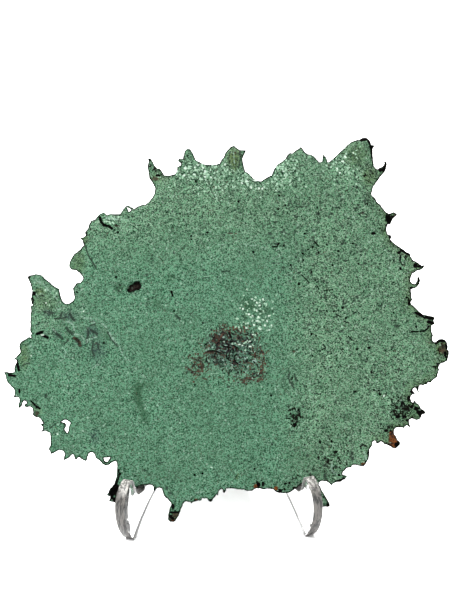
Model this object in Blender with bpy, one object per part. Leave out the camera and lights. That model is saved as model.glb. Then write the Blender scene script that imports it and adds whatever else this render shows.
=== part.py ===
"""A thin ragged sheet of native copper under green patina, leaning on a folded clear acrylic easel.

The two pieces are shaped in millimetres and stored in metres, +Z up, with the front toward -Y.
The copper is worked out on its own leaning plane: p runs to the right, q runs up the slope and
h stands out of the plane toward the viewer.
"""

import math

import bmesh
import bpy
from mathutils import Vector, noise
from mathutils.geometry import delaunay_2d_cdt
from mathutils.kdtree import KDTree

MM = 0.001

# The copper sheet
LEAN = math.radians(15.0)
MIDDLE_HEIGHT = 92.4
EDGE_THICKNESS = 1.0
MIDDLE_THICKNESS = 2.2
TAPER_WIDTH = 11.0
FRONT_SPACING = 3.5
BACK_SPACING = 4.6
TOP_CURL = 2.2
TOP_CURL_WIDTH = 5.0
WAVE_LENGTH = 34.0
WAVE_HEIGHT = 0.55
LUMP_LENGTH = 9.0
LUMP_HEIGHT = 0.3
CURL_START_Q = 5.0
CURL_FULL_Q = 35.0
BACK_ROUGH_LENGTH = 11.0
BACK_ROUGH_HEIGHT = 0.25
EDGE_POINT_STEP = 0.5
PIT_FLOOR_SHARE = 0.45
PIT_WALL_SHARE = 0.6
PIT_CLEARANCE_SHARE = 1.6
LOWEST_Q = -92.0
HIGHEST_Q = 72.0
LEFTMOST_P = -97.0
RIGHTMOST_P = 94.0

# The easel
ACRYLIC = 4.5
SPLAY = math.radians(24.0)
EASEL_CENTRE = -6.0
LEDGE_HALF_GAP = 34.6
LEDGE_PLANE_Q = -75.0
LEDGE_HEIGHT = 18.0
FOLD_RADIUS = 7.0
FOLD_STEPS = 12
CLOSEST_STOP = 0.01
EASEL_TOP = 102.0
SUPPORT_START = -4.0
FRONT_RADIUS = 19.5
FRONT_HEIGHT = 15.6
FRONT_REACH = 14.6
LIP_RADIUS = 11.0
LIP_TURN_DEGREES = 66.0
LIP_TIP = [(6.9, 26.3), (5.9, 26.0), (5.1, 25.0)]
THROAT = [(4.4, 22.6), (3.6, 20.2), (2.6, 18.7)]
THROAT_FOOT_U = 1.4
LEDGE_TO_SUPPORT_U = 0.5
LEDGE_TO_SUPPORT_Z = 0.6
CROWN_RADIUS = 7.0
CROWN_SIDE = 6.8
CROWN_LIFT = 0.2
CROWN_START_DEGREES = 16.0
CROWN_END_DEGREES = 138.0
ARCH_MIDDLE = -29.6
ARCH_HALF_SPAN = 35.0
ARCH_HEIGHT = 17.0
SPINE_TOP = 60.0

# The outline of the copper, clockwise from the foot of the bay beside the left horn.
LEFT_SHOULDER = [
    (-65.0, 4.1), (-64.9, 5.2), (-65.2, 7.8), (-65.5, 8.7), (-63.9, 10.8), (-62.2, 11.1),
    (-61.1, 12.6), (-61.2, 13.4), (-62.5, 15.1), (-63.9, 16.1), (-65.7, 16.5), (-66.8, 17.5),
    (-66.9, 19.5), (-65.9, 21.3), (-64.9, 23.0), (-63.1, 24.2), (-62.0, 25.1), (-60.9, 26.8),
    (-61.3, 28.7), (-62.2, 29.7), (-60.9, 30.2), (-59.9, 30.8), (-60.2, 32.2), (-59.0, 33.6),
    (-58.4, 35.2), (-57.5, 36.9), (-55.8, 37.4), (-53.8, 39.8), (-52.1, 40.4), (-50.8, 39.1),
    (-49.6, 39.6), (-47.4, 39.5), (-45.4, 39.5), (-44.6, 40.5), (-43.7, 41.9), (-42.3, 43.2),
    (-40.9, 42.6), (-39.3, 41.6), (-37.8, 42.7), (-36.1, 43.2), (-34.7, 43.2), (-33.4, 44.3),
]
LEFT_TOP_HORNS = [
    (-31.9, 46.0), (-30.8, 47.8), (-30.5, 50.2), (-31.2, 51.7), (-32.0, 52.9), (-32.8, 54.3),
    (-33.3, 57.0), (-33.5, 59.6), (-33.0, 61.3), (-33.4, 62.8), (-32.1, 62.4), (-31.3, 61.1),
    (-30.6, 59.6), (-29.5, 58.4), (-28.3, 58.1), (-27.5, 57.3), (-26.6, 55.4), (-24.7, 55.2),
    (-22.1, 55.9), (-21.3, 56.9), (-21.1, 58.9), (-19.8, 59.4), (-19.5, 60.2), (-20.8, 61.5),
    (-20.2, 62.2), (-18.7, 62.2), (-18.3, 63.8), (-17.9, 65.4), (-16.8, 66.3), (-15.5, 66.0),
    (-14.7, 65.0), (-14.0, 63.2), (-13.2, 61.7), (-11.6, 60.6), (-10.1, 59.7),
]
TOP_HORN_AND_BAY = [
    (-7.9, 59.4), (-5.0, 59.4), (-3.4, 59.9), (-2.6, 61.2), (-1.6, 62.7), (-0.9, 64.2),
    (0.1, 65.5), (1.4, 66.7), (3.0, 67.3), (3.8, 66.5), (5.2, 65.4), (6.8, 65.4),
    (8.0, 65.1), (7.1, 63.5), (6.4, 62.1), (6.4, 60.4), (6.9, 58.2), (7.5, 56.5),
    (8.5, 55.8), (9.9, 54.6), (10.8, 53.4), (12.2, 52.5), (13.9, 52.2), (15.0, 52.9),
    (16.8, 54.0), (18.3, 54.6), (19.4, 56.9), (20.1, 58.2), (21.0, 59.2), (22.8, 60.3),
    (24.3, 61.6), (25.0, 62.8),
]
TOP_RIGHT_PEAK = [
    (26.0, 63.8), (27.2, 63.7), (28.4, 64.8), (29.9, 65.5), (30.8, 66.5), (31.6, 65.5),
    (32.4, 64.1), (33.7, 63.3), (34.8, 63.2), (36.2, 62.3), (37.5, 61.0), (38.6, 59.7),
    (39.5, 60.0), (39.8, 62.2), (40.2, 63.0), (41.1, 62.2), (41.6, 61.1), (41.9, 59.8),
    (42.6, 59.9), (44.1, 61.1), (45.4, 62.3), (47.1, 63.8), (48.9, 65.5), (50.3, 66.7),
    (52.0, 68.1), (53.7, 68.7), (55.4, 69.0), (56.5, 69.5), (58.2, 69.9), (59.2, 69.1),
    (59.9, 68.3), (60.4, 66.7), (61.8, 66.3), (61.4, 65.6), (60.9, 65.0), (60.9, 62.6),
]
RIGHT_SPUR = [
    (61.0, 60.6), (61.2, 58.8), (61.4, 57.7), (62.3, 56.5), (62.9, 56.5), (63.5, 57.0),
    (64.4, 57.1), (65.0, 57.6), (65.7, 58.7), (65.5, 59.9), (66.3, 59.6), (66.7, 59.0),
    (66.6, 57.8), (66.4, 56.8), (66.0, 55.7), (65.3, 54.7), (63.9, 53.1), (63.2, 52.4),
    (62.8, 51.6), (62.1, 50.8), (61.9, 50.2), (61.2, 49.5), (60.7, 48.5), (60.2, 46.3),
    (60.4, 45.4),
]
RIGHT_SIDE = [
    (61.2, 44.6), (61.9, 43.8), (62.1, 43.1), (62.9, 42.2), (63.9, 41.4), (64.3, 40.5),
    (65.0, 39.8), (65.6, 39.0), (66.2, 38.2), (67.1, 37.7), (68.1, 38.0), (69.2, 38.4),
    (70.2, 37.9), (70.6, 37.2), (70.0, 36.3), (69.0, 35.7), (68.5, 34.9), (68.2, 34.1),
    (67.7, 33.2), (66.8, 33.4), (66.3, 32.5), (66.1, 30.9), (66.3, 29.5), (66.9, 28.9),
    (67.6, 28.8), (68.1, 27.9), (67.7, 26.9), (68.0, 26.2), (68.7, 25.6), (69.5, 25.0),
    (70.1, 24.3), (71.1, 23.8), (72.0, 23.1), (73.2, 22.4), (74.0, 21.5), (75.2, 21.1),
    (75.8, 20.4), (75.9, 19.5), (76.2, 18.8), (76.9, 17.8), (77.8, 17.7), (78.4, 17.0),
    (79.3, 16.4), (80.3, 15.7), (81.1, 16.0), (81.5, 15.6), (81.2, 15.0), (80.3, 14.1),
    (79.3, 13.7), (78.2, 13.5), (77.2, 12.9), (76.4, 12.4), (75.8, 11.4), (75.4, 10.0),
    (75.6, 9.0),
]
CURL_AND_RIGHT_POINTS = [
    (76.2, 8.3), (77.0, 8.1), (77.7, 8.4), (78.1, 9.3), (78.2, 10.5), (78.7, 11.1),
    (79.3, 10.5), (79.5, 9.4), (79.1, 8.3), (78.4, 7.2), (77.5, 6.4), (76.4, 6.0),
    (75.5, 5.7), (75.7, 4.6), (75.7, 2.6), (76.1, 1.5), (75.6, 1.1), (75.5, 0.2),
    (75.9, -0.7), (76.6, -1.0), (77.0, -1.6), (77.9, -2.4), (78.7, -3.3), (79.5, -4.1),
    (80.4, -4.7), (81.5, -5.0), (82.8, -5.3), (84.0, -5.6), (85.0, -5.8), (85.4, -6.2),
    (85.0, -6.9), (84.8, -7.6), (85.1, -8.4), (84.8, -9.0), (83.9, -9.4), (83.7, -10.1),
    (84.0, -11.0), (83.8, -11.9), (84.1, -12.8), (84.6, -13.4), (84.1, -14.1), (84.1, -15.0),
    (84.4, -15.9), (85.0, -16.3), (85.6, -16.3), (86.2, -15.7), (86.9, -15.3), (87.9, -15.0),
    (88.9, -15.2), (89.7, -15.7), (90.3, -16.6), (90.5, -18.0), (90.5, -19.4), (91.0, -20.2),
    (91.1, -21.1), (90.7, -22.0), (90.5, -23.2), (90.3, -24.2), (89.7, -24.4), (88.8, -24.9),
    (87.6, -25.4), (86.8, -26.1), (86.4, -26.9), (86.9, -27.8), (86.5, -28.7), (86.0, -29.7),
    (85.8, -31.1),
]
LOWER_RIGHT_TATTERS = [
    (84.9, -31.5), (84.0, -32.1), (83.4, -33.0), (82.6, -33.2), (82.0, -33.0), (81.4, -34.0),
    (80.5, -34.0), (79.8, -34.6), (79.3, -34.0), (78.7, -34.1), (78.2, -35.0), (78.1, -36.1),
    (78.2, -37.0), (77.7, -37.1), (77.4, -36.4), (77.1, -35.7), (76.5, -35.3), (75.8, -35.6),
    (75.5, -36.2), (76.0, -36.9), (76.6, -37.6), (76.3, -38.2), (75.7, -37.9), (75.1, -38.3),
    (74.6, -39.1), (74.7, -40.1), (75.0, -41.0), (75.5, -41.5), (75.9, -40.8), (76.6, -40.6),
    (77.1, -41.5), (78.0, -42.0), (78.4, -42.8), (78.9, -43.8), (79.8, -44.5), (80.5, -45.1),
    (80.9, -45.7), (80.4, -46.2), (79.4, -46.4), (78.9, -47.4), (78.7, -48.1), (77.9, -48.6),
    (76.9, -48.7), (76.0, -48.4), (75.0, -48.1), (74.3, -48.3), (73.8, -49.1), (74.0, -50.3),
    (74.4, -51.4), (74.7, -52.3), (74.0, -51.6), (73.0, -51.0), (72.2, -51.3), (71.5, -52.0),
    (70.8, -51.7), (69.1, -51.7), (68.3, -51.8), (67.7, -52.5), (67.4, -53.5),
]
COPPER_TAB = [
    (67.7, -54.5), (68.5, -55.6), (68.8, -56.9), (69.6, -57.3), (70.0, -58.0), (69.8, -59.0),
    (69.2, -59.5), (68.2, -60.1), (67.4, -60.5), (66.7, -60.2), (66.0, -59.6), (65.3, -59.2),
    (64.2, -58.8), (63.3, -58.5), (62.8, -57.9), (62.0, -57.3), (61.2, -57.9), (60.1, -58.1),
    (59.8, -57.4), (59.3, -57.0), (58.6, -57.5), (58.4, -58.5), (58.2, -59.2), (57.5, -59.7),
    (57.1, -60.7), (57.1, -62.2), (56.8, -63.6), (56.7, -64.6), (56.1, -65.5), (55.6, -66.4),
    (55.0, -67.3), (54.2, -67.6),
]
BOTTOM_RIGHT = [
    (53.0, -67.5), (51.1, -67.0), (49.8, -67.2), (49.3, -68.0), (47.4, -68.3), (46.8, -69.1),
    (46.1, -69.8), (45.6, -70.2), (45.9, -71.0), (46.5, -71.3), (47.9, -71.4), (47.3, -72.1),
    (46.8, -73.0), (45.9, -73.2), (44.9, -73.9), (43.4, -74.0), (42.6, -74.1), (41.8, -74.6),
    (41.1, -75.3), (40.5, -74.8), (39.9, -74.1), (38.7, -73.6), (37.0, -73.4), (35.9, -74.0),
    (35.8, -75.1),
]
DROP_OUTSIDE_RIGHT_WING = [
    (36.9, -77.2), (38.1, -79.2), (39.3, -81.4), (40.1, -82.9), (40.2, -83.9), (39.5, -84.5),
    (38.5, -84.2), (37.3, -84.3), (36.2, -83.8), (35.4, -82.6), (34.6, -81.3), (33.6, -79.6),
    (32.8, -77.8), (32.0, -76.3), (31.0, -75.2), (29.6, -74.5), (28.3, -74.6), (27.4, -75.3),
    (26.7, -76.1), (25.7, -76.3), (25.2, -77.0),
]
BOTTOM = [
    (24.1, -77.8), (22.9, -78.2), (20.8, -78.3), (19.0, -78.2), (18.0, -77.8), (17.1, -77.0),
    (16.4, -76.4), (15.3, -76.3), (13.9, -76.4), (12.6, -76.6), (11.8, -76.3), (10.8, -76.0),
    (9.7, -76.1), (8.7, -76.5), (7.8, -77.0), (6.6, -77.1), (5.4, -76.9), (4.3, -76.4),
    (3.0, -76.4), (1.7, -76.2), (0.0, -75.9), (-1.7, -75.8), (-2.8, -76.0), (-2.9, -76.7),
    (-3.4, -77.5), (-3.9, -77.8), (-4.3, -77.3), (-4.4, -76.4), (-4.9, -76.0), (-5.5, -76.4),
    (-6.0, -77.1), (-6.3, -78.0), (-6.4, -78.7), (-7.0, -78.5), (-7.7, -79.2), (-8.4, -80.0),
    (-8.6, -80.8), (-9.3, -81.3), (-10.1, -81.1), (-10.5, -80.4), (-11.1, -79.8), (-13.0, -79.8),
    (-13.3, -80.6), (-14.0, -80.9), (-14.7, -80.7), (-15.4, -80.9), (-17.0, -81.2), (-17.6, -81.7),
    (-18.2, -81.2), (-19.5, -80.9), (-20.4, -81.1), (-20.9, -81.9),
]
BOTTOM_SPIKE = [
    (-21.2, -82.8), (-21.8, -83.7), (-22.1, -84.6), (-22.4, -85.6), (-22.8, -86.7), (-23.7, -87.8),
    (-24.2, -88.9), (-24.9, -89.3), (-26.6, -89.2), (-27.3, -88.4), (-27.3, -86.9), (-27.0, -85.4),
    (-26.8, -84.0), (-26.4, -82.9), (-25.9, -82.0), (-26.1, -81.2), (-26.8, -80.6), (-27.2, -79.8),
    (-28.1, -79.4), (-28.8, -78.5), (-29.1, -77.6), (-29.4, -76.5), (-29.8, -75.5), (-30.6, -75.1),
    (-32.0, -75.3), (-32.4, -76.0), (-32.8, -76.5), (-33.1, -75.6), (-33.2, -74.6), (-33.7, -74.0),
    (-35.0, -73.8), (-36.8, -73.8), (-38.3, -73.9),
]
DROP_OUTSIDE_LEFT_WING = [
    (-39.4, -74.3), (-40.1, -74.9), (-41.0, -74.7), (-42.2, -75.4), (-43.0, -76.0), (-43.9, -76.9),
    (-44.4, -78.1), (-45.8, -79.0), (-46.5, -80.1), (-47.5, -81.0), (-49.5, -81.0), (-50.4, -80.6),
    (-52.0, -80.3), (-51.3, -79.1), (-51.4, -78.3), (-52.9, -77.6), (-52.2, -76.9), (-51.8, -76.2),
    (-51.5, -75.1), (-50.6, -74.2), (-49.8, -73.4), (-49.2, -72.0), (-48.8, -70.4), (-48.4, -68.0),
    (-48.2, -65.4), (-48.4, -64.3), (-48.9, -63.7),
]
LOWER_LEFT_TEETH = [
    (-49.7, -63.9), (-50.8, -64.6), (-51.6, -65.2), (-53.0, -65.4), (-54.0, -65.0), (-54.7, -64.2),
    (-55.4, -63.4), (-56.2, -62.7), (-57.2, -62.1), (-57.4, -61.1), (-58.0, -60.1), (-58.7, -59.7),
    (-59.3, -59.8), (-59.9, -60.4), (-60.1, -61.2), (-60.6, -61.9), (-60.7, -62.8), (-61.0, -63.6),
    (-61.6, -63.2), (-62.9, -62.7), (-63.5, -62.1), (-64.1, -61.7), (-64.5, -62.1), (-65.0, -62.8),
    (-65.7, -62.6), (-66.0, -61.6), (-66.2, -60.8), (-66.6, -60.4), (-67.2, -60.9), (-67.9, -61.7),
    (-68.7, -62.3), (-69.8, -62.7), (-70.9, -63.2), (-70.5, -62.2), (-70.2, -61.1), (-70.1, -60.0),
    (-70.5, -59.1), (-71.4, -58.8), (-72.3, -58.7), (-73.3, -59.2), (-74.1, -59.7), (-75.0, -60.0),
    (-75.5, -60.4), (-75.9, -59.9), (-76.2, -59.0), (-76.7, -58.4), (-76.7, -57.6), (-76.1, -56.9),
    (-75.8, -56.2), (-75.9, -54.6), (-75.8, -52.8), (-76.1, -51.6), (-76.8, -51.0), (-77.7, -50.7),
    (-78.6, -50.6),
]
LEFT_TEETH = [
    (-80.0, -51.1), (-79.1, -50.0), (-78.9, -49.0), (-79.6, -48.1), (-80.5, -47.4), (-79.4, -47.5),
    (-78.6, -47.4), (-79.0, -46.8), (-79.6, -46.0), (-80.3, -45.1), (-81.2, -44.9), (-82.1, -44.5),
    (-83.4, -43.5), (-82.8, -42.8), (-83.0, -41.8), (-83.3, -40.9), (-84.0, -40.4), (-84.9, -40.4),
    (-85.7, -40.6), (-86.6, -39.9), (-86.2, -39.2), (-85.4, -38.7), (-85.6, -38.1), (-86.6, -37.8),
    (-87.1, -38.8), (-87.5, -39.7), (-88.3, -40.9), (-88.8, -40.5), (-89.0, -39.4), (-88.6, -38.4),
    (-88.4, -37.0), (-89.0, -36.3), (-90.0, -36.3), (-91.1, -36.4), (-90.7, -35.5), (-90.5, -34.4),
    (-90.3, -33.4),
]
LEFT_TIPS = [
    (-91.0, -32.5), (-91.8, -31.7), (-92.5, -30.8), (-93.1, -30.3), (-93.6, -29.4), (-94.0, -28.2),
    (-94.1, -27.1), (-94.8, -25.7), (-93.6, -25.6), (-92.2, -26.0), (-91.0, -25.9), (-90.3, -25.5),
    (-90.4, -24.0), (-90.0, -22.8), (-89.3, -21.3), (-89.7, -20.6), (-91.0, -20.9), (-90.2, -20.1),
    (-89.4, -19.4), (-88.6, -18.4), (-87.8, -17.5), (-87.9, -16.5), (-88.3, -15.3), (-88.1, -14.2),
    (-87.5, -13.3), (-86.5, -12.6), (-85.3, -12.1), (-84.7, -11.4), (-84.0, -11.2), (-83.1, -11.7),
    (-83.4, -10.7), (-83.0, -9.8),
]
LEFT_HORN = [
    (-83.5, -8.8), (-83.6, -7.9), (-83.3, -6.5), (-83.5, -5.1), (-83.3, -3.8), (-83.5, -2.3),
    (-83.1, -0.9), (-83.1, 0.5), (-83.4, 1.5), (-82.4, 1.9), (-82.7, 2.9), (-83.2, 4.7),
    (-82.7, 5.6), (-82.7, 6.7), (-82.4, 8.0), (-82.9, 9.7), (-83.2, 11.1), (-83.7, 12.3),
    (-84.4, 13.6), (-84.0, 14.4), (-82.4, 14.7), (-80.8, 15.0), (-79.5, 14.9), (-78.5, 14.6),
    (-77.7, 13.8), (-77.0, 13.0), (-76.0, 12.2), (-75.1, 11.5), (-74.1, 10.5), (-73.1, 9.8),
    (-72.2, 9.1), (-71.3, 8.7), (-70.9, 7.8), (-70.8, 6.7), (-70.5, 5.5), (-70.1, 4.3),
    (-69.6, 3.2), (-68.9, 2.6), (-67.9, 2.3), (-66.9, 2.5), (-66.3, 3.0), (-65.5, 3.5),
]
OUTLINE = (
    LEFT_SHOULDER + LEFT_TOP_HORNS + TOP_HORN_AND_BAY + TOP_RIGHT_PEAK + RIGHT_SPUR + RIGHT_SIDE
    + CURL_AND_RIGHT_POINTS + LOWER_RIGHT_TATTERS + COPPER_TAB + BOTTOM_RIGHT
    + DROP_OUTSIDE_RIGHT_WING + BOTTOM + BOTTOM_SPIKE + DROP_OUTSIDE_LEFT_WING
    + LOWER_LEFT_TEETH + LEFT_TEETH + LEFT_TIPS + LEFT_HORN
)

# The holes that go right through the copper.
TORN_HOLE = [
    (-71.2, -46.8), (-70.0, -46.2), (-69.0, -46.1), (-68.1, -46.7), (-67.3, -47.3), (-67.8, -48.1),
    (-68.1, -49.1), (-68.2, -50.3), (-68.7, -51.5), (-69.2, -50.9), (-69.9, -49.9), (-69.2, -49.1),
    (-69.1, -48.0), (-69.8, -47.2),
]
LOOP_HOLE = [(-53.8, -62.2), (-51.1, -62.1), (-51.5, -62.9), (-52.6, -63.9), (-53.4, -63.6)]
TOP_LOOP_HOLE = [(-42.2, 42.1), (-40.6, 41.2), (-41.7, 40.4)]
HOLES = [TORN_HOLE, LOOP_HOLE, TOP_LOOP_HOLE]

# Pits sunk in the front: middle, half width, half height and depth.
PITS = [
    ((-39.6, 9.2), (3.0, 2.1), 1.5),
    ((-46.2, 8.5), (1.8, 1.8), 0.5),
    ((-78.6, -10.6), (2.1, 1.5), 0.9),
    ((-63.6, -12.9), (2.4, 1.3), 0.8),
]
# Creases pressed in the front: the two ends, the half width and the depth.
CREASES = [
    ((-39.3, -31.0), (-35.4, -49.5), 2.4, 0.5),
    ((-74.6, -8.0), (-70.0, -13.2), 1.5, 0.5),
    ((-69.2, -6.6), (-66.4, -10.8), 1.5, 0.5),
    ((-53.4, 38.0), (-46.0, 34.2), 1.4, 0.5),
    ((58.6, 68.0), (60.0, 61.0), 1.3, -0.6),
]


def smooth_step(value):
    """Eased ramp from 0 at 0 to 1 at 1."""
    value = min(max(value, 0.0), 1.0)
    return value * value * (3.0 - 2.0 * value)


def wave(p, q, length, seed):
    """Smooth noise between about -1 and 1, repeating on the given length."""
    return noise.noise(Vector((p / length, q / length, seed))) * 1.6


def along(line):
    """The line's points with its start repeated at the end."""
    return list(line) + [line[0]]


def edge_tree():
    """Points every half millimetre round the outline and the holes, for measuring distance."""
    points = []
    for ring in [OUTLINE] + HOLES:
        closed = along(ring)
        for start, end in zip(closed, closed[1:]):
            steps = max(1, math.ceil(math.dist(start, end) / EDGE_POINT_STEP))
            for step in range(steps):
                share = step / steps
                points.append((start[0] + (end[0] - start[0]) * share,
                               start[1] + (end[1] - start[1]) * share))
    tree = KDTree(len(points))
    for index, (p, q) in enumerate(points):
        tree.insert((p, q, 0.0), index)
    tree.balance()
    return tree


def inside(ring, p, q):
    """Whether the point lies inside the closed ring."""
    found = False
    closed = along(ring)
    for (p0, q0), (p1, q1) in zip(closed, closed[1:]):
        if (q0 > q) != (q1 > q) and p < p0 + (q - q0) * (p1 - p0) / (q1 - q0):
            found = not found
    return found


def on_copper(p, q):
    """Whether the point lies on the copper, clear of its holes."""
    return inside(OUTLINE, p, q) and not any(inside(hole, p, q) for hole in HOLES)


def crease_depth(p, q):
    """How far the creases lower the front at a point."""
    depth = 0.0
    for (p0, q0), (p1, q1), half_width, deep in CREASES:
        length = math.dist((p0, q0), (p1, q1))
        share = ((p - p0) * (p1 - p0) + (q - q0) * (q1 - q0)) / length ** 2
        share = min(max(share, 0.0), 1.0)
        away = math.dist((p, q), (p0 + (p1 - p0) * share, q0 + (q1 - q0) * share))
        depth += deep * (1.0 - smooth_step(away / half_width))
    return depth


def pit_depth(p, q):
    """How far the pits lower the front at a point."""
    depth = 0.0
    for (middle_p, middle_q), (half_p, half_q), deep in PITS:
        away = math.hypot((p - middle_p) / half_p, (q - middle_q) / half_q)
        depth += deep * (1.0 - smooth_step((away - PIT_FLOOR_SHARE) / PIT_WALL_SHARE))
    return depth


def top_curl(q, from_edge):
    """How far the upper edge turns back at a point."""
    near_top = smooth_step((q - CURL_START_Q) / (CURL_FULL_Q - CURL_START_Q))
    return TOP_CURL * near_top * math.exp(-from_edge / TOP_CURL_WIDTH)


def front_waves(p, q):
    """The waves and lumps of the front face."""
    return WAVE_HEIGHT * wave(p, q, WAVE_LENGTH, 3.1) + LUMP_HEIGHT * wave(p, q, LUMP_LENGTH, 8.7)


def front_height(p, q, from_edge):
    """Height of the front face over the sheet's plane."""
    return front_waves(p, q) - top_curl(q, from_edge) - crease_depth(p, q) - pit_depth(p, q)


def back_height(p, q, from_edge):
    """Height of the back face, which follows the front's waves and is rougher."""
    filled = smooth_step(from_edge / TAPER_WIDTH)
    thickness = EDGE_THICKNESS + (MIDDLE_THICKNESS - EDGE_THICKNESS) * filled
    waves = (1.0 - filled) * front_waves(p, q)
    rough = BACK_ROUGH_HEIGHT * filled * wave(p, q, BACK_ROUGH_LENGTH, 21.5)
    return waves + rough - top_curl(q, from_edge) - thickness


def hex_points(spacing, tree):
    """Evenly packed points over the copper, kept clear of its edge."""
    points = []
    row = 0
    q = LOWEST_Q
    while q < HIGHEST_Q:
        p = LEFTMOST_P + (spacing / 2 if row % 2 else 0.0)
        while p < RIGHTMOST_P:
            if tree.find((p, q, 0.0))[2] > 0.45 * spacing and on_copper(p, q):
                points.append((p, q))
            p += spacing
        q += spacing * math.sqrt(3.0) / 2
        row += 1
    return points


def pit_points():
    """Rings of points that give each pit its rim and its floor."""
    points = []
    for (middle_p, middle_q), (half_p, half_q), _ in PITS:
        points.append((middle_p, middle_q))
        for share, count in ((0.5, 7), (1.1, 12)):
            for step in range(count):
                turn = 2 * math.pi * step / count
                points.append((middle_p + share * half_p * math.cos(turn),
                               middle_q + share * half_q * math.sin(turn)))
    return points


def clear_of_pits(points):
    """The points that lie outside the pits, whose own rings take their place there."""
    kept = []
    for p, q in points:
        away = min(math.hypot((p - pit[0][0]) / pit[1][0], (q - pit[0][1]) / pit[1][1]) for pit in PITS)
        if away > PIT_CLEARANCE_SHARE:
            kept.append((p, q))
    return kept


def triangulated(inner):
    """Flat triangles over the copper, as rings of edge points first and the inner points after them."""
    points = []
    edges = []
    for ring in [OUTLINE] + HOLES:
        start = len(points)
        points += ring
        edges += [(start + i, start + (i + 1) % len(ring)) for i in range(len(ring))]
    rim = len(points)
    points += inner
    corners, _, faces, _, _, _ = delaunay_2d_cdt([Vector(point) for point in points], edges, [], 0, 1e-5)
    if len(corners) != len(points):
        raise ValueError("two points of the outline meet")
    kept = []
    for face in faces:
        middle = sum((corners[i] for i in face), Vector((0.0, 0.0))) / 3
        if on_copper(middle.x, middle.y):
            kept.append(face)
    return points, edges, rim, kept


def sheet_point(p, q, h):
    """A point of the leaning sheet in the upright frame, in metres."""
    y = q * math.sin(LEAN) - h * math.cos(LEAN)
    z = MIDDLE_HEIGHT + q * math.cos(LEAN) + h * math.sin(LEAN)
    return Vector((p, y, z)) * MM


def make_object(name, mesh, material):
    """A linked object with its own material."""
    obj = bpy.data.objects.new(name, mesh)
    bpy.context.scene.collection.objects.link(obj)
    mesh.materials.append(material)
    return obj


def copper_sheet():
    """One solid: a front face, a back face and the ragged rim between them."""
    tree = edge_tree()
    front = triangulated(clear_of_pits(hex_points(FRONT_SPACING, tree)) + pit_points())
    back = triangulated(hex_points(BACK_SPACING, tree))
    shape = bmesh.new()
    layers = []
    for (points, _, _, _), height in ((front, front_height), (back, back_height)):
        layer = []
        for p, q in points:
            from_edge = tree.find((p, q, 0.0))[2]
            layer.append(shape.verts.new(sheet_point(p, q, height(p, q, from_edge))))
        layers.append(layer)
    for face in front[3]:
        shape.faces.new([layers[0][i] for i in face])
    for face in back[3]:
        shape.faces.new([layers[1][i] for i in reversed(face)])
    for a, b in front[1]:
        shape.faces.new([layers[0][a], layers[0][b], layers[1][b], layers[1][a]])
    bmesh.ops.recalc_face_normals(shape, faces=shape.faces)
    mesh = bpy.data.meshes.new("copper_sheet")
    shape.to_mesh(mesh)
    shape.free()
    return make_object("copper_sheet", mesh, patina_material())


def arc_points(middle, radius, start, end, count):
    """Points along an arc, with its angles in degrees."""
    points = []
    for step in range(count + 1):
        turn = math.radians(start + (end - start) * step / count)
        points.append((middle[0] + radius * math.cos(turn), middle[1] + radius * math.sin(turn)))
    return points


def arch_points(count):
    """The underside of a wing, a parabola from the rear foot forward to the toe."""
    points = []
    for step in range(count + 1):
        share = -1.0 + 2.0 * step / count
        points.append((ARCH_MIDDLE + ARCH_HALF_SPAN * share, ARCH_HEIGHT * (1.0 - share * share)))
    return points


def lip_points():
    """The front of a wing: a long curve up from the toe and a tighter one back to the lip."""
    toe_turn = -math.degrees(math.asin(FRONT_HEIGHT / FRONT_RADIUS))
    front = arc_points((FRONT_REACH - FRONT_RADIUS, FRONT_HEIGHT), FRONT_RADIUS, toe_turn, 0.0, 10)
    lip = arc_points((FRONT_REACH - LIP_RADIUS, FRONT_HEIGHT), LIP_RADIUS, 0.0, LIP_TURN_DEGREES, 7)
    return front + lip[1:] + LIP_TIP + THROAT + [(THROAT_FOOT_U, LEDGE_HEIGHT)]


def top_points():
    """The upper part of a wing: the leaning support edge, a round top and the slope to the spine."""
    slope = math.tan(LEAN) / math.cos(SPLAY)
    start = (SUPPORT_START, LEDGE_HEIGHT + LEDGE_TO_SUPPORT_Z)
    shoulder_height = EASEL_TOP - CROWN_RADIUS
    shoulder = (SUPPORT_START - slope * (shoulder_height - start[1]), shoulder_height)
    crown_middle = (shoulder[0] - CROWN_SIDE, shoulder[1] + CROWN_LIFT)
    crown = arc_points(crown_middle, CROWN_RADIUS, CROWN_START_DEGREES, CROWN_END_DEGREES, 8)
    return [(SUPPORT_START + LEDGE_TO_SUPPORT_U, LEDGE_HEIGHT), start, shoulder] + crown


def fold_length():
    """Half the length of the fold's bend, measured on the middle of the sheet."""
    return FOLD_RADIUS * (math.pi / 2 - SPLAY)


def ledge_distance():
    """Distance from the spine to the copper's plane at the ledge, measured along a wing."""
    straight = (LEDGE_HALF_GAP - FOLD_RADIUS * math.cos(SPLAY)) / math.sin(SPLAY)
    return fold_length() + straight


def folded(s, z, w):
    """A point of the flat acrylic, s from the spine and w through its thickness, once it is folded."""
    bend = fold_length()
    turn = min(abs(s), bend) / FOLD_RADIUS
    x = (FOLD_RADIUS + w) * math.sin(turn) + max(abs(s) - bend, 0.0) * math.sin(SPLAY)
    y = (FOLD_RADIUS + w) * math.cos(turn) - max(abs(s) - bend, 0.0) * math.cos(SPLAY)
    straight = ledge_distance() - bend
    rear = FOLD_RADIUS * math.sin(SPLAY) - straight * math.cos(SPLAY)
    ledge_y = LEDGE_PLANE_Q * math.sin(LEAN)
    return Vector((EASEL_CENTRE + math.copysign(x, s), y - rear + ledge_y, z)) * MM


def easel_outline():
    """The outline of the flat blank before folding, mirrored about the spine."""
    to_spine = ledge_distance()
    wing = arch_points(22) + lip_points() + top_points()
    half = [(u + to_spine, z) for u, z in wing]
    other = [(-s, z) for s, z in reversed(half)]
    return half + [(0.0, SPINE_TOP)] + other + [(0.0, 0.0)]


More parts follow.
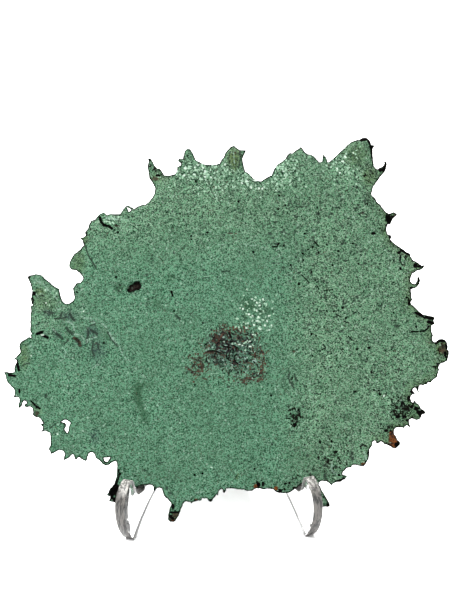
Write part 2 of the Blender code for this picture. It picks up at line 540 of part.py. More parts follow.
def bend_columns(outline):
    """Points down the fold, so that the bend comes out round."""
    bend = fold_length()
    points = []
    for column in range(-FOLD_STEPS // 2, FOLD_STEPS // 2 + 1):
        s = bend * column / (FOLD_STEPS // 2)
        for row in range(1, 9):
            z = SPINE_TOP * row / 9
            if inside(outline, s, z):
                points.append((s, z))
    return points


def with_fold_stops(outline):
    """The outline with extra points where its long runs cross the lines of the bend."""
    bend = fold_length()
    stops = [bend * column / (FOLD_STEPS // 2) for column in range(-FOLD_STEPS // 2, FOLD_STEPS // 2 + 1)]
    result = []
    closed = along(outline)
    for start, end in zip(closed, closed[1:]):
        result.append(start)
        run = end[0] - start[0]
        low = min(start[0], end[0]) + CLOSEST_STOP
        high = max(start[0], end[0]) - CLOSEST_STOP
        crossed = [stop for stop in stops if low < stop < high]
        for stop in sorted(crossed, reverse=run < 0):
            share = (stop - start[0]) / run
            result.append((stop, start[1] + (end[1] - start[1]) * share))
    return result


def acrylic_easel():
    """One piece of clear acrylic, cut out flat and folded to a V with its spine at the back."""
    outline = with_fold_stops(easel_outline())
    points = outline + bend_columns(outline)
    edges = [(i, (i + 1) % len(outline)) for i in range(len(outline))]
    corners, _, faces, _, _, _ = delaunay_2d_cdt([Vector(point) for point in points], edges, [], 0, 1e-5)
    shape = bmesh.new()
    outer = [shape.verts.new(folded(s, z, ACRYLIC / 2)) for s, z in corners]
    inner = [shape.verts.new(folded(s, z, -ACRYLIC / 2)) for s, z in corners]
    for face in faces:
        middle = sum((corners[i] for i in face), Vector((0.0, 0.0))) / 3
        if inside(outline, middle.x, middle.y):
            shape.faces.new([outer[i] for i in face])
            shape.faces.new([inner[i] for i in reversed(face)])
    for a, b in edges:
        shape.faces.new([outer[a], outer[b], inner[b], inner[a]])
    bmesh.ops.recalc_face_normals(shape, faces=shape.faces)
    mesh = bpy.data.meshes.new("acrylic_easel")
    shape.to_mesh(mesh)
    shape.free()
    return make_object("acrylic_easel", mesh, acrylic_material())


def principled(name, color, roughness, metallic):
    """A plain material, with its shader for any further settings."""
    material = bpy.data.materials.new(name)
    material.use_nodes = True
    shader = material.node_tree.nodes["Principled BSDF"]
    shader.inputs["Base Color"].default_value = (*color, 1.0)
    shader.inputs["Roughness"].default_value = roughness
    shader.inputs["Metallic"].default_value = metallic
    material.diffuse_color = (*color, 1.0)
    return material, shader


def patina_material():
    material, _ = principled("green_patina", (0.15, 0.30, 0.20), 0.55, 0.0)
    return material


def acrylic_material():
    material, shader = principled("clear_acrylic", (0.95, 0.95, 0.93), 0.05, 0.0)
    shader.inputs["Transmission Weight"].default_value = 1.0
    shader.inputs["IOR"].default_value = 1.49
    return material


def stand_on_origin(pieces):
    """Parents the pieces to an empty that puts the middle of their base on the origin."""
    corners = [vertex.co for piece in pieces for vertex in piece.data.vertices]
    low = [min(corner[axis] for corner in corners) for axis in range(3)]
    high = [max(corner[axis] for corner in corners) for axis in range(3)]
    base = bpy.data.objects.new("display_base", None)
    bpy.context.scene.collection.objects.link(base)
    base.location = (-(low[0] + high[0]) / 2, -(low[1] + high[1]) / 2, -low[2])
    for piece in pieces:
        piece.parent = base


def main():
    for obj in list(bpy.data.objects):
        bpy.data.objects.remove(obj, do_unlink=True)
    stand_on_origin([copper_sheet(), acrylic_easel()])


main()
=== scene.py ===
import math

import bmesh
import bpy
import numpy as np
from mathutils import Matrix, Vector, kdtree, noise


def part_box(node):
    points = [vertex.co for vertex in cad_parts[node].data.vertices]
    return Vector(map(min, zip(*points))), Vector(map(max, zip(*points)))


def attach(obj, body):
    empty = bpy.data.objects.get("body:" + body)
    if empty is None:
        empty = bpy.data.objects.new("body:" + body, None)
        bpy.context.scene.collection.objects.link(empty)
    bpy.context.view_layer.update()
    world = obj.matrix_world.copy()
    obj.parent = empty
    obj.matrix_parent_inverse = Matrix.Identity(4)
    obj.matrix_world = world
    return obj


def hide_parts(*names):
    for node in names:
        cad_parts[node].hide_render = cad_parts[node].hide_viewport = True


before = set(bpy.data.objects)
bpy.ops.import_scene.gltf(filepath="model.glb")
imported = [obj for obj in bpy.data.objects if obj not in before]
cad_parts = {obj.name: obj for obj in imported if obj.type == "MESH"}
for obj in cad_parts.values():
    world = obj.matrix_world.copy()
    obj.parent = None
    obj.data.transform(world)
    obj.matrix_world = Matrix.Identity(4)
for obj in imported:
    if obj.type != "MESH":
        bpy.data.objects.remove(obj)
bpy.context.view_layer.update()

# The sheet is native copper that set as a thin splash with horns and drops all round it.
# Long burial gave it a green skin of fine grains over brown and black oxide.
# It only leans on the easel, on two ledges and the edges of the two wings.
MM = 0.001
LEAN = math.radians(15.0)
SHEET_MIDDLE = np.array((1.85, -8.339, 92.4))
TO_RIGHT = np.array((1.0, 0.0, 0.0))
UP_SLOPE = np.array((0.0, math.sin(LEAN), math.cos(LEAN)))
OUTWARD = np.array((0.0, -math.cos(LEAN), math.sin(LEAN)))

copper = bpy.data.objects.new("copper_splash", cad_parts["copper_sheet"].data.copy())
bpy.context.scene.collection.objects.link(copper)
copper.data.materials.clear()


def edit_only(obj):
    """Selects one object alone and opens it in edit mode."""
    bpy.ops.object.select_all(action="DESELECT")
    obj.select_set(True)
    bpy.context.view_layer.objects.active = obj
    bpy.ops.object.mode_set(mode="EDIT")


WELD = 1e-6
edit_only(copper)
bpy.ops.mesh.select_all(action="SELECT")
bpy.ops.mesh.remove_doubles(threshold=WELD)
bpy.ops.mesh.customdata_custom_splitnormals_clear()
bpy.ops.mesh.select_mode(type="FACE")

# Every mark on the sheet is placed by its x and y in the photograph, in pixels.
MM_PER_PIXEL = 0.41667
PICTURE_MIDDLE = (230.0, 306.5)
ROLL = math.radians(1.0)


def seen_place(points):
    """Where points in metres stand in the photograph, and how many mm they are out of the sheet's plane."""
    away = np.asarray(points) / MM - SHEET_MIDDLE
    right = away @ TO_RIGHT
    up = away @ UP_SLOPE
    x = PICTURE_MIDDLE[0] + (right * math.cos(ROLL) - up * math.sin(ROLL)) / MM_PER_PIXEL
    y = PICTURE_MIDDLE[1] - (up * math.cos(ROLL) + right * math.sin(ROLL)) / MM_PER_PIXEL
    return x, y, away @ OUTWARD


def world_place(x, y, height):
    """The way back from seen_place, to points in metres."""
    across = (x - PICTURE_MIDDLE[0]) * MM_PER_PIXEL
    upward = (PICTURE_MIDDLE[1] - y) * MM_PER_PIXEL
    right = across * math.cos(ROLL) + upward * math.sin(ROLL)
    up = upward * math.cos(ROLL) - across * math.sin(ROLL)
    in_plane = np.outer(right, TO_RIGHT) + np.outer(up, UP_SLOPE)
    return (SHEET_MIDDLE + in_plane + np.outer(height, OUTWARD)) * MM


# The front is cut finer than the back, and finest where it has a pit, a fold or a crease.
FINE_PLACES = [
    (134.0, 287.0, 14.0, 10.0), (108.0, 223.0, 14.0, 9.0), (60.0, 334.0, 28.0, 10.0), (35.0, 405.0, 8.0, 8.0),
]
RIM_FACING = 0.2
FRONT_CUTS = 3
FINE_CUTS = 1
BACK_CUTS = 1
shape = bmesh.from_edit_mesh(copper.data)
for face in shape.faces:
    face.select_set(face.normal.dot(Vector(OUTWARD)) > RIM_FACING)
bpy.ops.mesh.subdivide(number_cuts=FRONT_CUTS)
shape = bmesh.from_edit_mesh(copper.data)
x, y, height = seen_place([face.calc_center_median() for face in shape.faces])
wanted = np.zeros(len(x), bool)
for mark_x, mark_y, half_width, half_height in FINE_PLACES:
    wanted |= np.hypot((x - mark_x) / half_width, (y - mark_y) / half_height) < 1.0
for face, chosen in zip(shape.faces, wanted):
    face.select_set(bool(chosen) and face.normal.dot(Vector(OUTWARD)) > RIM_FACING)
bpy.ops.mesh.subdivide(number_cuts=FINE_CUTS)
shape = bmesh.from_edit_mesh(copper.data)
for face in shape.faces:
    face.select_set(face.normal.dot(Vector(OUTWARD)) < -RIM_FACING)
bpy.ops.mesh.subdivide(number_cuts=BACK_CUTS)
bpy.ops.mesh.select_all(action="SELECT")
bpy.ops.mesh.quads_convert_to_tris()
bpy.ops.object.mode_set(mode="OBJECT")

mesh = copper.data
count = len(mesh.vertices)
spots = np.empty(count * 3)
mesh.vertices.foreach_get("co", spots)
x, y, height = seen_place(spots.reshape(-1, 3))
facing = np.array([polygon.normal.dot(Vector(OUTWARD)) for polygon in mesh.polygons])
corners = np.array([tuple(polygon.vertices) for polygon in mesh.polygons])
on_front = np.zeros(count, bool)
on_back = np.zeros(count, bool)
on_rim = np.zeros(count, bool)
on_front[corners[facing > RIM_FACING]] = True
on_back[corners[facing < -RIM_FACING]] = True
on_rim[corners[abs(facing) <= RIM_FACING]] = True
inner_front = on_front & ~on_rim
inner_back = on_back & ~on_rim

margin_places = np.flatnonzero(on_front & on_rim)
margin_tree = kdtree.KDTree(len(margin_places))
for place in margin_places:
    margin_tree.insert((x[place], y[place], 0.0), int(place))
margin_tree.balance()
from_margin = np.array([margin_tree.find((a, b, 0.0))[2] for a, b in zip(x, y)])


def ease(value):
    """Eased ramp from 0 at 0 to 1 at 1."""
    value = np.clip(value, 0.0, 1.0)
    return value * value * (3.0 - 2.0 * value)


NOISE_GAIN = 1.7


def grain(length, seed, across=1.0):
    """Smooth noise of about -1 to 1 at every vertex, its length in pixels, drawn out sideways by a factor."""
    places = zip(x / (length * across), y / length)
    return np.array([noise.noise(Vector((a, b, seed))) for a, b in places]) * NOISE_GAIN


# How far, in pixels, the edges of wide marks wander: in long sweeps and in short ones.
SWEEP_LENGTH = 4.0
SWEEP_WANDER = 1.9
JOG_LENGTH = 1.9
JOG_WANDER = 1.0
wander_x = SWEEP_WANDER * grain(SWEEP_LENGTH, 41.0) + JOG_WANDER * grain(JOG_LENGTH, 43.0)
wander_y = SWEEP_WANDER * grain(SWEEP_LENGTH, 47.0) + JOG_WANDER * grain(JOG_LENGTH, 53.0)


def spot(mark, ragged=0.0, soft=0.5):
    """A soft-edged oval of a mark's middle, half width and half height: 1 in its middle, 0 outside it."""
    mark_x, mark_y, half_width, half_height = mark
    across = (x + wander_x * ragged - mark_x) / half_width
    down = (y + wander_y * ragged - mark_y) / half_height
    away = np.hypot(across, down)
    return 1.0 - ease((away - (1.0 - soft)) / (2.0 * soft))


def spots_of(marks, ragged=0.0, soft=0.5):
    """The strongest of several soft-edged ovals, each with its level after its four sizes."""
    return np.max([mark[4] * spot(mark[:4], ragged, soft) for mark in marks], axis=0)


FAR_OFF = 1e3


def stroke(line, half_width):
    """A soft-edged line through the given points, 1 on the line and 0 outside its width."""
    nearest = np.full(count, FAR_OFF)
    for (x0, y0), (x1, y1) in zip(line, line[1:]):
        share = ((x - x0) * (x1 - x0) + (y - y0) * (y1 - y0)) / ((x1 - x0) ** 2 + (y1 - y0) ** 2)
        share = np.clip(share, 0.0, 1.0)
        away = np.hypot(x - x0 - share * (x1 - x0), y - y0 - share * (y1 - y0))
        nearest = np.minimum(nearest, away)
    return 1.0 - ease(nearest / half_width)


# The relief: one deep pit, a turned fold, creases on the left horns and the slow swell of the sheet.
PIT = [(137.0, 285.8, 4.3, 4.7), (132.6, 288.0, 4.0, 4.0), (129.6, 290.4, 2.8, 2.1)]
SIDE_PIT = (119.5, 287.5, 5.0, 5.0)
FOLD = [
    (99.5, 217.0), (101.0, 222.0), (104.0, 225.0), (108.0, 226.0),
    (112.0, 228.5), (115.5, 226.0), (119.0, 226.0),
]
HORN_CREASES = [[(37.0, 334.0), (42.0, 332.0)], [(42.5, 335.5), (47.5, 337.5)]]
GREY_CREASES = [[(53.5, 330.0), (57.0, 334.5), (62.0, 338.5)], [(66.0, 327.5), (68.5, 331.0), (72.0, 334.0)]]
RED_CREASE = [(74.0, 338.0), (77.0, 340.0), (79.5, 343.0), (80.0, 345.0)]
TIP_CREASE = [(31.5, 401.5), (35.0, 405.0), (39.5, 408.5)]
FURROW = [(136.0, 384.0), (140.0, 402.0), (148.0, 422.0)]

# Depths and heights are millimetres of copper, and widths and lengths are pixels.
PIT_DEPTH = 1.1
PIT_HALF_WIDTH = 5.5
SIDE_PIT_DEPTH = 0.35
FOLD_LIP = 0.45
FOLD_DEPTH = 0.4
CREASE_LIP = 0.25
CREASE_DEPTH = 0.4
FURROW_DEPTH = 0.45
FURROW_HALF_WIDTH = 6.0
relief = 0.20 * grain(15.6, 5.0) + 0.13 * grain(7.0, 11.0, 1.25) + 0.07 * grain(3.6, 17.0, 1.2)
pit_line = [mark[:2] for mark in PIT]
relief -= PIT_DEPTH * stroke(pit_line, PIT_HALF_WIDTH) + SIDE_PIT_DEPTH * spot(SIDE_PIT)
relief += FOLD_LIP * stroke([(a, b - 4.0) for a, b in FOLD], 3.0) - FOLD_DEPTH * stroke(FOLD, 2.0)
for crease in HORN_CREASES + GREY_CREASES + [RED_CREASE, TIP_CREASE]:
    lip = [(a + 1.0, b - 3.0) for a, b in crease]
    relief += CREASE_LIP * stroke(lip, 2.6) - CREASE_DEPTH * stroke(crease, 2.4)
relief -= FURROW_DEPTH * stroke(FURROW, FURROW_HALF_WIDTH)

# The margin is worn thin on both faces, and the relief fades out toward it.
WORN_WIDTH = 1.9
WORN_FRONT = 0.3
WORN_BACK = 0.25
FRONT_FADE = 3.6
BACK_FADE = 6.0
BACK_RISE = 0.1
worn_edge = np.clip(1.0 - from_margin / WORN_WIDTH, 0.0, 1.0) ** 2
height = np.where(inner_front, height + relief * ease(from_margin / FRONT_FADE), height)
height = np.where(on_front, height - WORN_FRONT * worn_edge, height)
back_relief = np.minimum(0.22 * grain(18.0, 71.0) + 0.14 * grain(7.7, 73.0), BACK_RISE)
height = np.where(inner_back, height + back_relief * ease(from_margin / BACK_FADE), height)
height = np.where(on_back, height + WORN_BACK * worn_edge, height)

# The pits and creases stop short of the back: this much copper, in millimetres, is left behind them.
LEAST_COPPER = 0.45
CLEAR_OF_MARGIN = 4.0
back_tree = kdtree.KDTree(int(on_back.sum()))
for place in np.flatnonzero(on_back):
    back_tree.insert((x[place], y[place], 0.0), int(place))
back_tree.balance()
for place in np.flatnonzero(inner_front & (from_margin > CLEAR_OF_MARGIN)):
    behind = max(height[other] for _, other, _ in back_tree.find_n((x[place], y[place], 0.0), 3))
    height[place] = max(height[place], behind + LEAST_COPPER)

# The rim crumbles a little.
CRUMB_LENGTH = 2.2
CRUMB_REACH = 0.34
crumbling = (on_rim & (from_margin < FRONT_FADE)) * CRUMB_REACH
x += crumbling * grain(CRUMB_LENGTH, 83.0)
y += crumbling * grain(CRUMB_LENGTH, 89.0)
low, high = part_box("copper_sheet")
spots = np.clip(world_place(x, y, height), np.array(low), np.array(high))
mesh.vertices.foreach_set("co", spots.ravel())
mesh.update()

# Small marks keep a crisp edge, so each face knows the nearest one and the skin's material draws it.
# Each mark is its middle's x and y, half width and half height; a line has its points, then its half width.
HOLES = [
    (279.2, 195.6, 1.1, 1.2), (285.4, 205.2, 1.1, 1.1), (278.2, 209.2, 1.1, 1.1), (317.3, 207.6, 1.0, 1.2),
    (238.5, 201.5, 1.2, 1.2), (304.8, 233.7, 1.2, 1.1), (312.6, 246.9, 1.2, 1.2), (327.0, 244.8, 1.1, 1.1),
    (308.0, 249.6, 1.2, 1.0), (318.8, 252.3, 1.1, 1.2), (302.8, 253.6, 1.3, 1.2), (338.4, 251.0, 1.4, 1.0),
    (303.3, 259.8, 1.1, 1.1), (283.5, 245.8, 1.1, 1.0), (253.2, 252.0, 1.2, 1.2), (290.6, 265.0, 1.2, 1.2),
    (332.5, 265.0, 1.3, 1.3), (311.5, 272.0, 1.1, 1.1), (304.0, 286.5, 0.8, 0.8), (353.0, 243.4, 1.5, 0.9),
    (358.5, 263.8, 1.1, 1.1), (373.5, 233.3, 2.6, 1.6), (399.0, 252.5, 1.9, 1.5), (400.5, 268.5, 1.4, 1.6),
    (415.5, 265.5, 2.3, 2.4), (407.0, 297.5, 1.1, 1.2), (409.2, 303.5, 1.4, 2.2), (416.5, 326.8, 1.5, 1.3),
    (393.8, 312.6, 1.0, 0.9), (360.2, 306.3, 1.1, 1.0), (342.5, 307.8, 1.4, 1.2), (317.2, 309.8, 0.9, 0.9),
    (326.8, 311.0, 1.0, 1.0), (334.0, 311.3, 1.5, 0.8), (346.0, 318.0, 1.2, 1.2), (304.5, 317.8, 0.8, 0.8),
    (311.5, 334.0, 1.3, 1.3), (316.0, 335.8, 1.1, 1.0), (369.0, 347.8, 1.6, 1.4), (357.0, 349.2, 1.1, 1.1),
    (312.4, 356.0, 1.1, 1.1), (299.0, 284.0, 1.4, 1.3), (315.3, 280.3, 0.8, 0.8), (331.0, 380.0, 1.0, 1.0),
    (271.0, 395.3, 1.2, 1.2), (355.0, 391.8, 2.0, 1.0), (259.5, 433.3, 0.9, 0.9), (320.0, 442.0, 1.2, 1.8),
    (331.5, 441.2, 1.2, 1.6), (254.5, 468.8, 1.1, 1.0), (285.5, 483.5, 1.3, 1.2), (289.5, 483.0, 1.4, 1.4),
    (202.5, 473.5, 1.2, 1.0), (194.5, 475.0, 1.3, 1.2), (203.0, 323.0, 1.0, 1.1), (195.0, 385.0, 1.0, 1.0),
    (296.0, 320.5, 0.8, 0.8), (174.0, 311.0, 1.1, 1.1), (116.0, 277.0, 1.3, 1.3), (77.0, 292.0, 1.0, 1.0),
    (118.0, 232.3, 1.2, 1.4), (104.0, 342.8, 1.3, 1.2), (113.0, 348.5, 0.8, 0.8), (380.0, 394.5, 1.3, 1.4),
    (374.0, 390.0, 1.2, 1.2), (371.5, 372.0, 1.3, 1.2), (339.0, 475.0, 1.5, 1.3), (361.0, 448.5, 1.0, 1.1),
    (366.0, 462.0, 1.5, 1.3), (180.0, 213.5, 1.0, 1.0), (191.0, 236.0, 1.0, 1.4), (191.3, 239.3, 1.0, 0.9),
    (207.5, 232.5, 1.4, 1.2), (196.0, 181.0, 1.6, 1.3), (231.2, 342.0, 1.6, 1.3), (227.5, 358.5, 1.3, 1.2),
    (214.5, 356.5, 1.1, 0.9), (298.5, 410.5, 1.4, 2.6), (290.5, 413.5, 0.9, 1.4), (295.0, 424.5, 1.6, 2.0),
    (270.0, 363.0, 0.9, 0.9), (348.0, 450.8, 1.2, 1.0), (335.5, 451.5, 1.4, 1.1), (28.5, 277.5, 1.6, 1.6),
    (34.0, 293.5, 1.8, 2.4), (32.3, 300.5, 1.5, 3.6), (37.5, 407.0, 1.6, 1.5), (20.5, 408.0, 1.5, 1.4),
    (51.0, 455.0, 1.4, 1.3), (148.5, 158.8, 2.4, 1.8), (157.5, 175.0, 2.6, 1.3), (246.0, 151.0, 2.0, 1.6),
    (86.0, 234.0, 1.1, 2.2), (19.5, 391.0, 1.2, 2.6), (173.0, 506.5, 2.0, 2.6), (258.3, 484.5, 2.0, 2.6),
    (263.0, 484.0, 1.5, 2.4), (279.5, 491.0, 2.4, 2.2), (211.0, 500.5, 2.3, 1.6), (224.0, 491.5, 1.4, 1.8),
    (155.2, 490.0, 1.0, 1.6), (329.5, 504.5, 3.0, 2.6), (120.0, 474.0, 1.4, 1.6), (294.5, 488.0, 2.2, 1.5),
    (403.0, 404.5, 2.0, 2.8), (409.0, 398.5, 2.2, 2.8), (415.0, 402.0, 1.5, 1.6), (412.0, 407.0, 2.0, 1.8),
    (398.0, 417.0, 2.6, 1.3), (404.5, 417.0, 2.4, 1.9), (407.5, 420.5, 2.0, 1.4), (386.0, 431.0, 1.8, 1.4),
    (391.0, 431.0, 1.5, 0.9), (338.5, 367.0, 0.9, 0.9), (411.5, 288.2, 1.7, 1.6), (391.5, 237.8, 1.5, 1.5),
]
CRACKS = [
    (FOLD[:5], 1.3), (HORN_CREASES[0], 1.4), (HORN_CREASES[1], 1.4), (TIP_CREASE, 1.0),
    ([(171.4, 291.5), (172.7, 295.6)], 1.0), ([(401.0, 250.0), (409.0, 254.5)], 1.3),
    ([(400.5, 256.0), (400.2, 262.0)], 0.8), ([(418.0, 266.5), (424.8, 266.0)], 1.3),
    ([(429.0, 326.0), (427.0, 329.0), (424.0, 331.0), (420.5, 331.2)], 0.9),
    ([(411.5, 331.6), (418.0, 331.6)], 0.8),
    ([(416.0, 313.0), (424.0, 317.0), (434.0, 318.8)], 1.5), ([(428.5, 322.0), (434.0, 323.2)], 1.6),
    ([(362.0, 139.3), (368.0, 138.0), (371.0, 143.0), (372.4, 149.0), (373.0, 156.0)], 1.7),
    ([(373.2, 157.0), (374.0, 165.5)], 0.9), ([(371.5, 147.0), (375.6, 145.5)], 1.0),
    ([(386.5, 161.5), (387.0, 165.0), (384.5, 169.2), (380.5, 169.6)], 1.6),
    ([(375.5, 198.5), (389.0, 213.5)], 1.2),
    ([(388.5, 216.0), (390.5, 223.0)], 2.8), ([(387.0, 225.0), (388.2, 232.0), (391.0, 239.0)], 1.1),
    ([(419.3, 278.5), (420.0, 283.0)], 1.7), ([(436.0, 343.5), (440.0, 340.8), (445.0, 341.2)], 1.3),
    ([(446.5, 345.0), (449.0, 353.0), (447.0, 361.0)], 1.5), ([(445.5, 353.0), (446.5, 357.0)], 1.6),
    ([(438.0, 364.0), (439.5, 371.0), (437.0, 378.0), (431.0, 382.0), (424.0, 385.5), (413.0, 390.0)], 1.3),
    ([(418.6, 387.5), (419.2, 391.5)], 0.9), ([(411.0, 391.5), (415.0, 394.5)], 1.5),
    ([(416.0, 408.5), (425.0, 413.0)], 2.2), ([(418.5, 411.0), (421.0, 415.0)], 2.4),
    ([(396.5, 444.5), (400.0, 443.0)], 2.2), ([(385.0, 444.0), (391.0, 446.5)], 1.1),
    ([(368.6, 451.0), (368.4, 461.0)], 1.2), ([(338.0, 481.3), (345.0, 479.3)], 1.6),
    ([(116.0, 487.0), (112.0, 494.0)], 3.2), ([(112.0, 498.5), (117.0, 501.0)], 2.4),
    ([(118.6, 470.0), (119.0, 476.0), (116.5, 484.0)], 1.0), ([(16.5, 360.0), (19.0, 370.0)], 1.3),
    ([(9.0, 375.0), (15.0, 376.0)], 1.2), ([(171.0, 512.5), (179.0, 512.0)], 1.1),
    ([(170.0, 516.5), (173.0, 518.5)], 1.4), ([(360.5, 446.8), (362.8, 444.6), (366.5, 446.2)], 0.8),
    ([(208.0, 351.0), (214.0, 350.8), (221.0, 353.2)], 0.8), ([(220.0, 340.5), (227.0, 341.0)], 0.7),
    ([(234.0, 360.0), (239.0, 364.5)], 0.7), ([(226.0, 356.0), (229.0, 360.0)], 0.7),
    ([(223.0, 346.0), (231.0, 348.0)], 0.8), ([(233.0, 345.0), (239.0, 349.0)], 0.7),
    ([(243.0, 344.0), (248.0, 346.5)], 0.7), ([(229.0, 333.0), (231.0, 337.0)], 1.1),
    ([(301.5, 274.7), (307.0, 280.0), (309.0, 283.0)], 0.6), ([(314.0, 241.0), (318.5, 246.0)], 0.7),
    ([(273.0, 246.8), (277.0, 246.6), (279.0, 243.0)], 0.9),
    ([(315.0, 287.0), (317.0, 285.8), (319.0, 289.5)], 0.5),
    ([(324.0, 290.5), (333.0, 289.5)], 0.5), ([(336.0, 314.0), (341.0, 317.0)], 0.6),
    ([(344.0, 321.5), (349.0, 323.0)], 0.6), ([(348.5, 336.5), (352.0, 340.0)], 0.7),
    ([(323.0, 344.0), (326.0, 348.0), (322.0, 349.5)], 0.6), ([(338.0, 457.0), (340.0, 460.0)], 0.8),
    ([(290.0, 418.5), (286.0, 418.0)], 0.7), ([(374.0, 390.5), (379.5, 391.0), (379.8, 395.0)], 0.7),
    ([(160.5, 495.0), (168.0, 500.5)], 0.9),
]
SHADES = [
    (277.8, 202.8, 1.0, 1.0), (301.0, 206.7, 3.6, 1.1), (318.0, 214.0, 2.5, 1.5), (320.0, 217.0, 1.2, 1.0),
    (318.0, 222.0, 1.0, 1.4), (240.0, 213.0, 1.3, 1.0), (254.5, 215.0, 1.2, 1.0), (275.0, 222.0, 3.0, 0.9),
    (270.0, 223.5, 1.0, 1.0), (270.0, 233.5, 2.2, 1.6), (273.0, 238.0, 1.4, 1.0), (282.0, 232.0, 2.4, 1.4),
    (302.0, 245.5, 1.3, 1.0), (313.0, 237.5, 1.3, 1.1), (239.5, 252.0, 1.1, 1.1), (280.0, 252.3, 1.0, 0.8),
    (376.0, 263.5, 1.2, 0.8), (357.0, 187.5, 1.8, 1.2), (341.5, 200.0, 1.3, 1.8), (355.0, 208.5, 1.8, 1.3),
    (363.0, 212.5, 1.4, 1.8), (360.5, 207.0, 1.1, 1.1), (342.0, 226.0, 1.4, 1.0), (372.0, 171.0, 1.2, 1.4),
    (330.0, 167.0, 1.4, 1.2), (302.5, 291.5, 1.0, 0.8), (309.0, 324.5, 2.4, 1.1), (304.0, 328.5, 2.0, 0.8),
    (318.5, 328.0, 1.0, 1.0), (349.0, 330.3, 0.9, 0.9), (327.5, 330.5, 1.0, 0.9), (346.8, 341.3, 1.0, 1.0),
    (328.0, 352.0, 1.1, 1.0), (350.0, 355.5, 1.2, 1.0), (397.0, 326.0, 3.0, 1.3), (370.5, 332.0, 1.2, 1.5),
    (289.0, 374.5, 1.3, 1.2), (292.0, 383.0, 1.2, 1.8), (304.5, 386.5, 1.1, 1.0), (336.0, 402.0, 1.2, 1.8),
    (316.5, 393.3, 1.2, 0.9), (287.5, 406.5, 0.9, 0.9), (303.0, 407.0, 1.5, 1.2), (254.0, 414.7, 2.4, 1.0),
    (292.5, 431.0, 1.3, 1.2), (317.0, 420.3, 1.5, 0.9), (323.0, 428.0, 2.0, 1.2), (328.3, 436.0, 1.5, 1.0),
    (321.5, 447.0, 1.2, 1.0), (305.0, 444.5, 1.3, 1.1), (325.0, 465.0, 3.4, 1.7), (352.0, 456.0, 1.9, 4.6),
    (325.0, 476.0, 1.7, 2.2), (167.0, 488.0, 1.5, 2.0), (170.5, 493.0, 2.2, 1.0), (190.0, 478.5, 1.1, 0.9),
    (181.0, 481.5, 1.3, 0.8), (144.0, 470.0, 2.0, 0.9), (152.0, 259.0, 1.1, 1.0), (174.0, 252.5, 1.2, 1.5),
    (147.0, 274.5, 1.8, 1.2), (140.0, 270.5, 1.2, 1.0), (175.5, 303.0, 1.0, 0.9), (187.0, 294.5, 1.6, 1.6),
    (120.0, 285.0, 1.3, 0.9), (117.0, 287.5, 1.0, 1.2), (122.5, 288.5, 1.0, 1.2), (119.0, 291.0, 1.4, 0.9),
    (66.0, 314.0, 1.0, 1.0), (86.5, 342.0, 1.3, 1.2), (184.5, 340.5, 1.1, 1.0), (244.0, 461.0, 1.1, 1.0),
    (239.0, 440.5, 1.0, 1.0), (272.0, 444.0, 0.9, 1.2), (232.0, 295.0, 0.9, 1.0), (217.5, 277.0, 1.1, 1.0),
    (204.0, 270.0, 1.8, 1.2), (398.0, 369.5, 1.4, 1.1), (381.0, 371.0, 1.3, 1.2), (383.0, 362.0, 2.0, 0.9),
    (423.0, 356.5, 1.3, 1.1), (392.5, 347.5, 2.0, 1.5), (216.0, 364.0, 2.2, 1.2), (236.5, 374.0, 2.0, 1.2),
    (228.5, 254.5, 1.0, 0.9), (224.0, 234.5, 1.2, 0.9), (221.0, 238.8, 1.3, 1.0), (148.0, 299.0, 1.0, 1.4),
    (95.0, 438.0, 1.1, 1.0), (90.0, 442.0, 1.1, 0.9), (85.0, 447.5, 0.8, 0.8), (46.0, 396.0, 1.4, 2.6),
    (242.0, 463.5, 1.0, 0.9), (211.0, 394.0, 1.0, 0.9), (158.0, 353.0, 1.1, 0.9), (132.0, 372.0, 1.0, 1.0),
]
SHADED_LINES = [
    ([(176.0, 315.0), (180.0, 319.5)], 1.0), ([(190.0, 315.0), (193.5, 311.0)], 0.6),
    (GREY_CREASES[0], 1.4), (GREY_CREASES[1], 1.3), ([(84.0, 243.0), (88.0, 255.0), (96.0, 268.0)], 0.8),
    ([(61.5, 313.0), (60.0, 318.5), (54.5, 318.8)], 1.0), ([(61.0, 318.5), (67.0, 317.0)], 0.9),
    ([(70.0, 313.5), (71.5, 317.5), (74.5, 320.5)], 1.2), ([(44.5, 312.0), (53.0, 313.0)], 1.1),
    ([(87.5, 328.0), (88.5, 334.0), (86.5, 340.0)], 1.2), ([(91.0, 330.0), (97.0, 334.0)], 1.3),
    ([(93.0, 343.0), (92.0, 350.0), (94.0, 356.0)], 0.9), ([(97.0, 343.0), (99.0, 350.0)], 0.8),
    ([(107.5, 332.0), (111.5, 339.5), (117.5, 346.0)], 0.9), ([(64.0, 344.0), (68.0, 340.5)], 0.8),
    ([(36.0, 296.0), (44.0, 296.0)], 0.8), ([(23.0, 365.0), (30.0, 363.0)], 0.7),
    ([(50.0, 428.0), (58.0, 422.0)], 0.6), ([(391.0, 320.0), (396.0, 320.6)], 0.7),
    ([(331.0, 305.0), (337.0, 307.0)], 0.6),
    ([(90.0, 322.0), (94.0, 321.0), (95.0, 324.5), (91.0, 325.0)], 0.6),
    ([(70.5, 352.0), (74.5, 353.0), (74.0, 357.5), (71.0, 357.0)], 0.6),
    ([(158.0, 464.0), (163.5, 462.0)], 0.6),
    ([(239.5, 150.0), (240.5, 158.0), (238.5, 168.0)], 0.6),
    ([(230.5, 151.0), (228.5, 158.0), (230.0, 167.0)], 0.5),
    ([(212.0, 356.0), (216.0, 361.0), (221.0, 365.5)], 1.1), ([(202.0, 278.0), (209.0, 277.5)], 0.5),
    ([(289.5, 373.0), (288.5, 378.0), (290.5, 383.0), (294.0, 388.0)], 0.9),
    ([(294.5, 374.0), (296.0, 381.0)], 0.7),
    ([(222.0, 272.0), (230.0, 271.0)], 0.6), ([(232.0, 366.0), (238.0, 372.0), (236.0, 377.0)], 0.7),
]
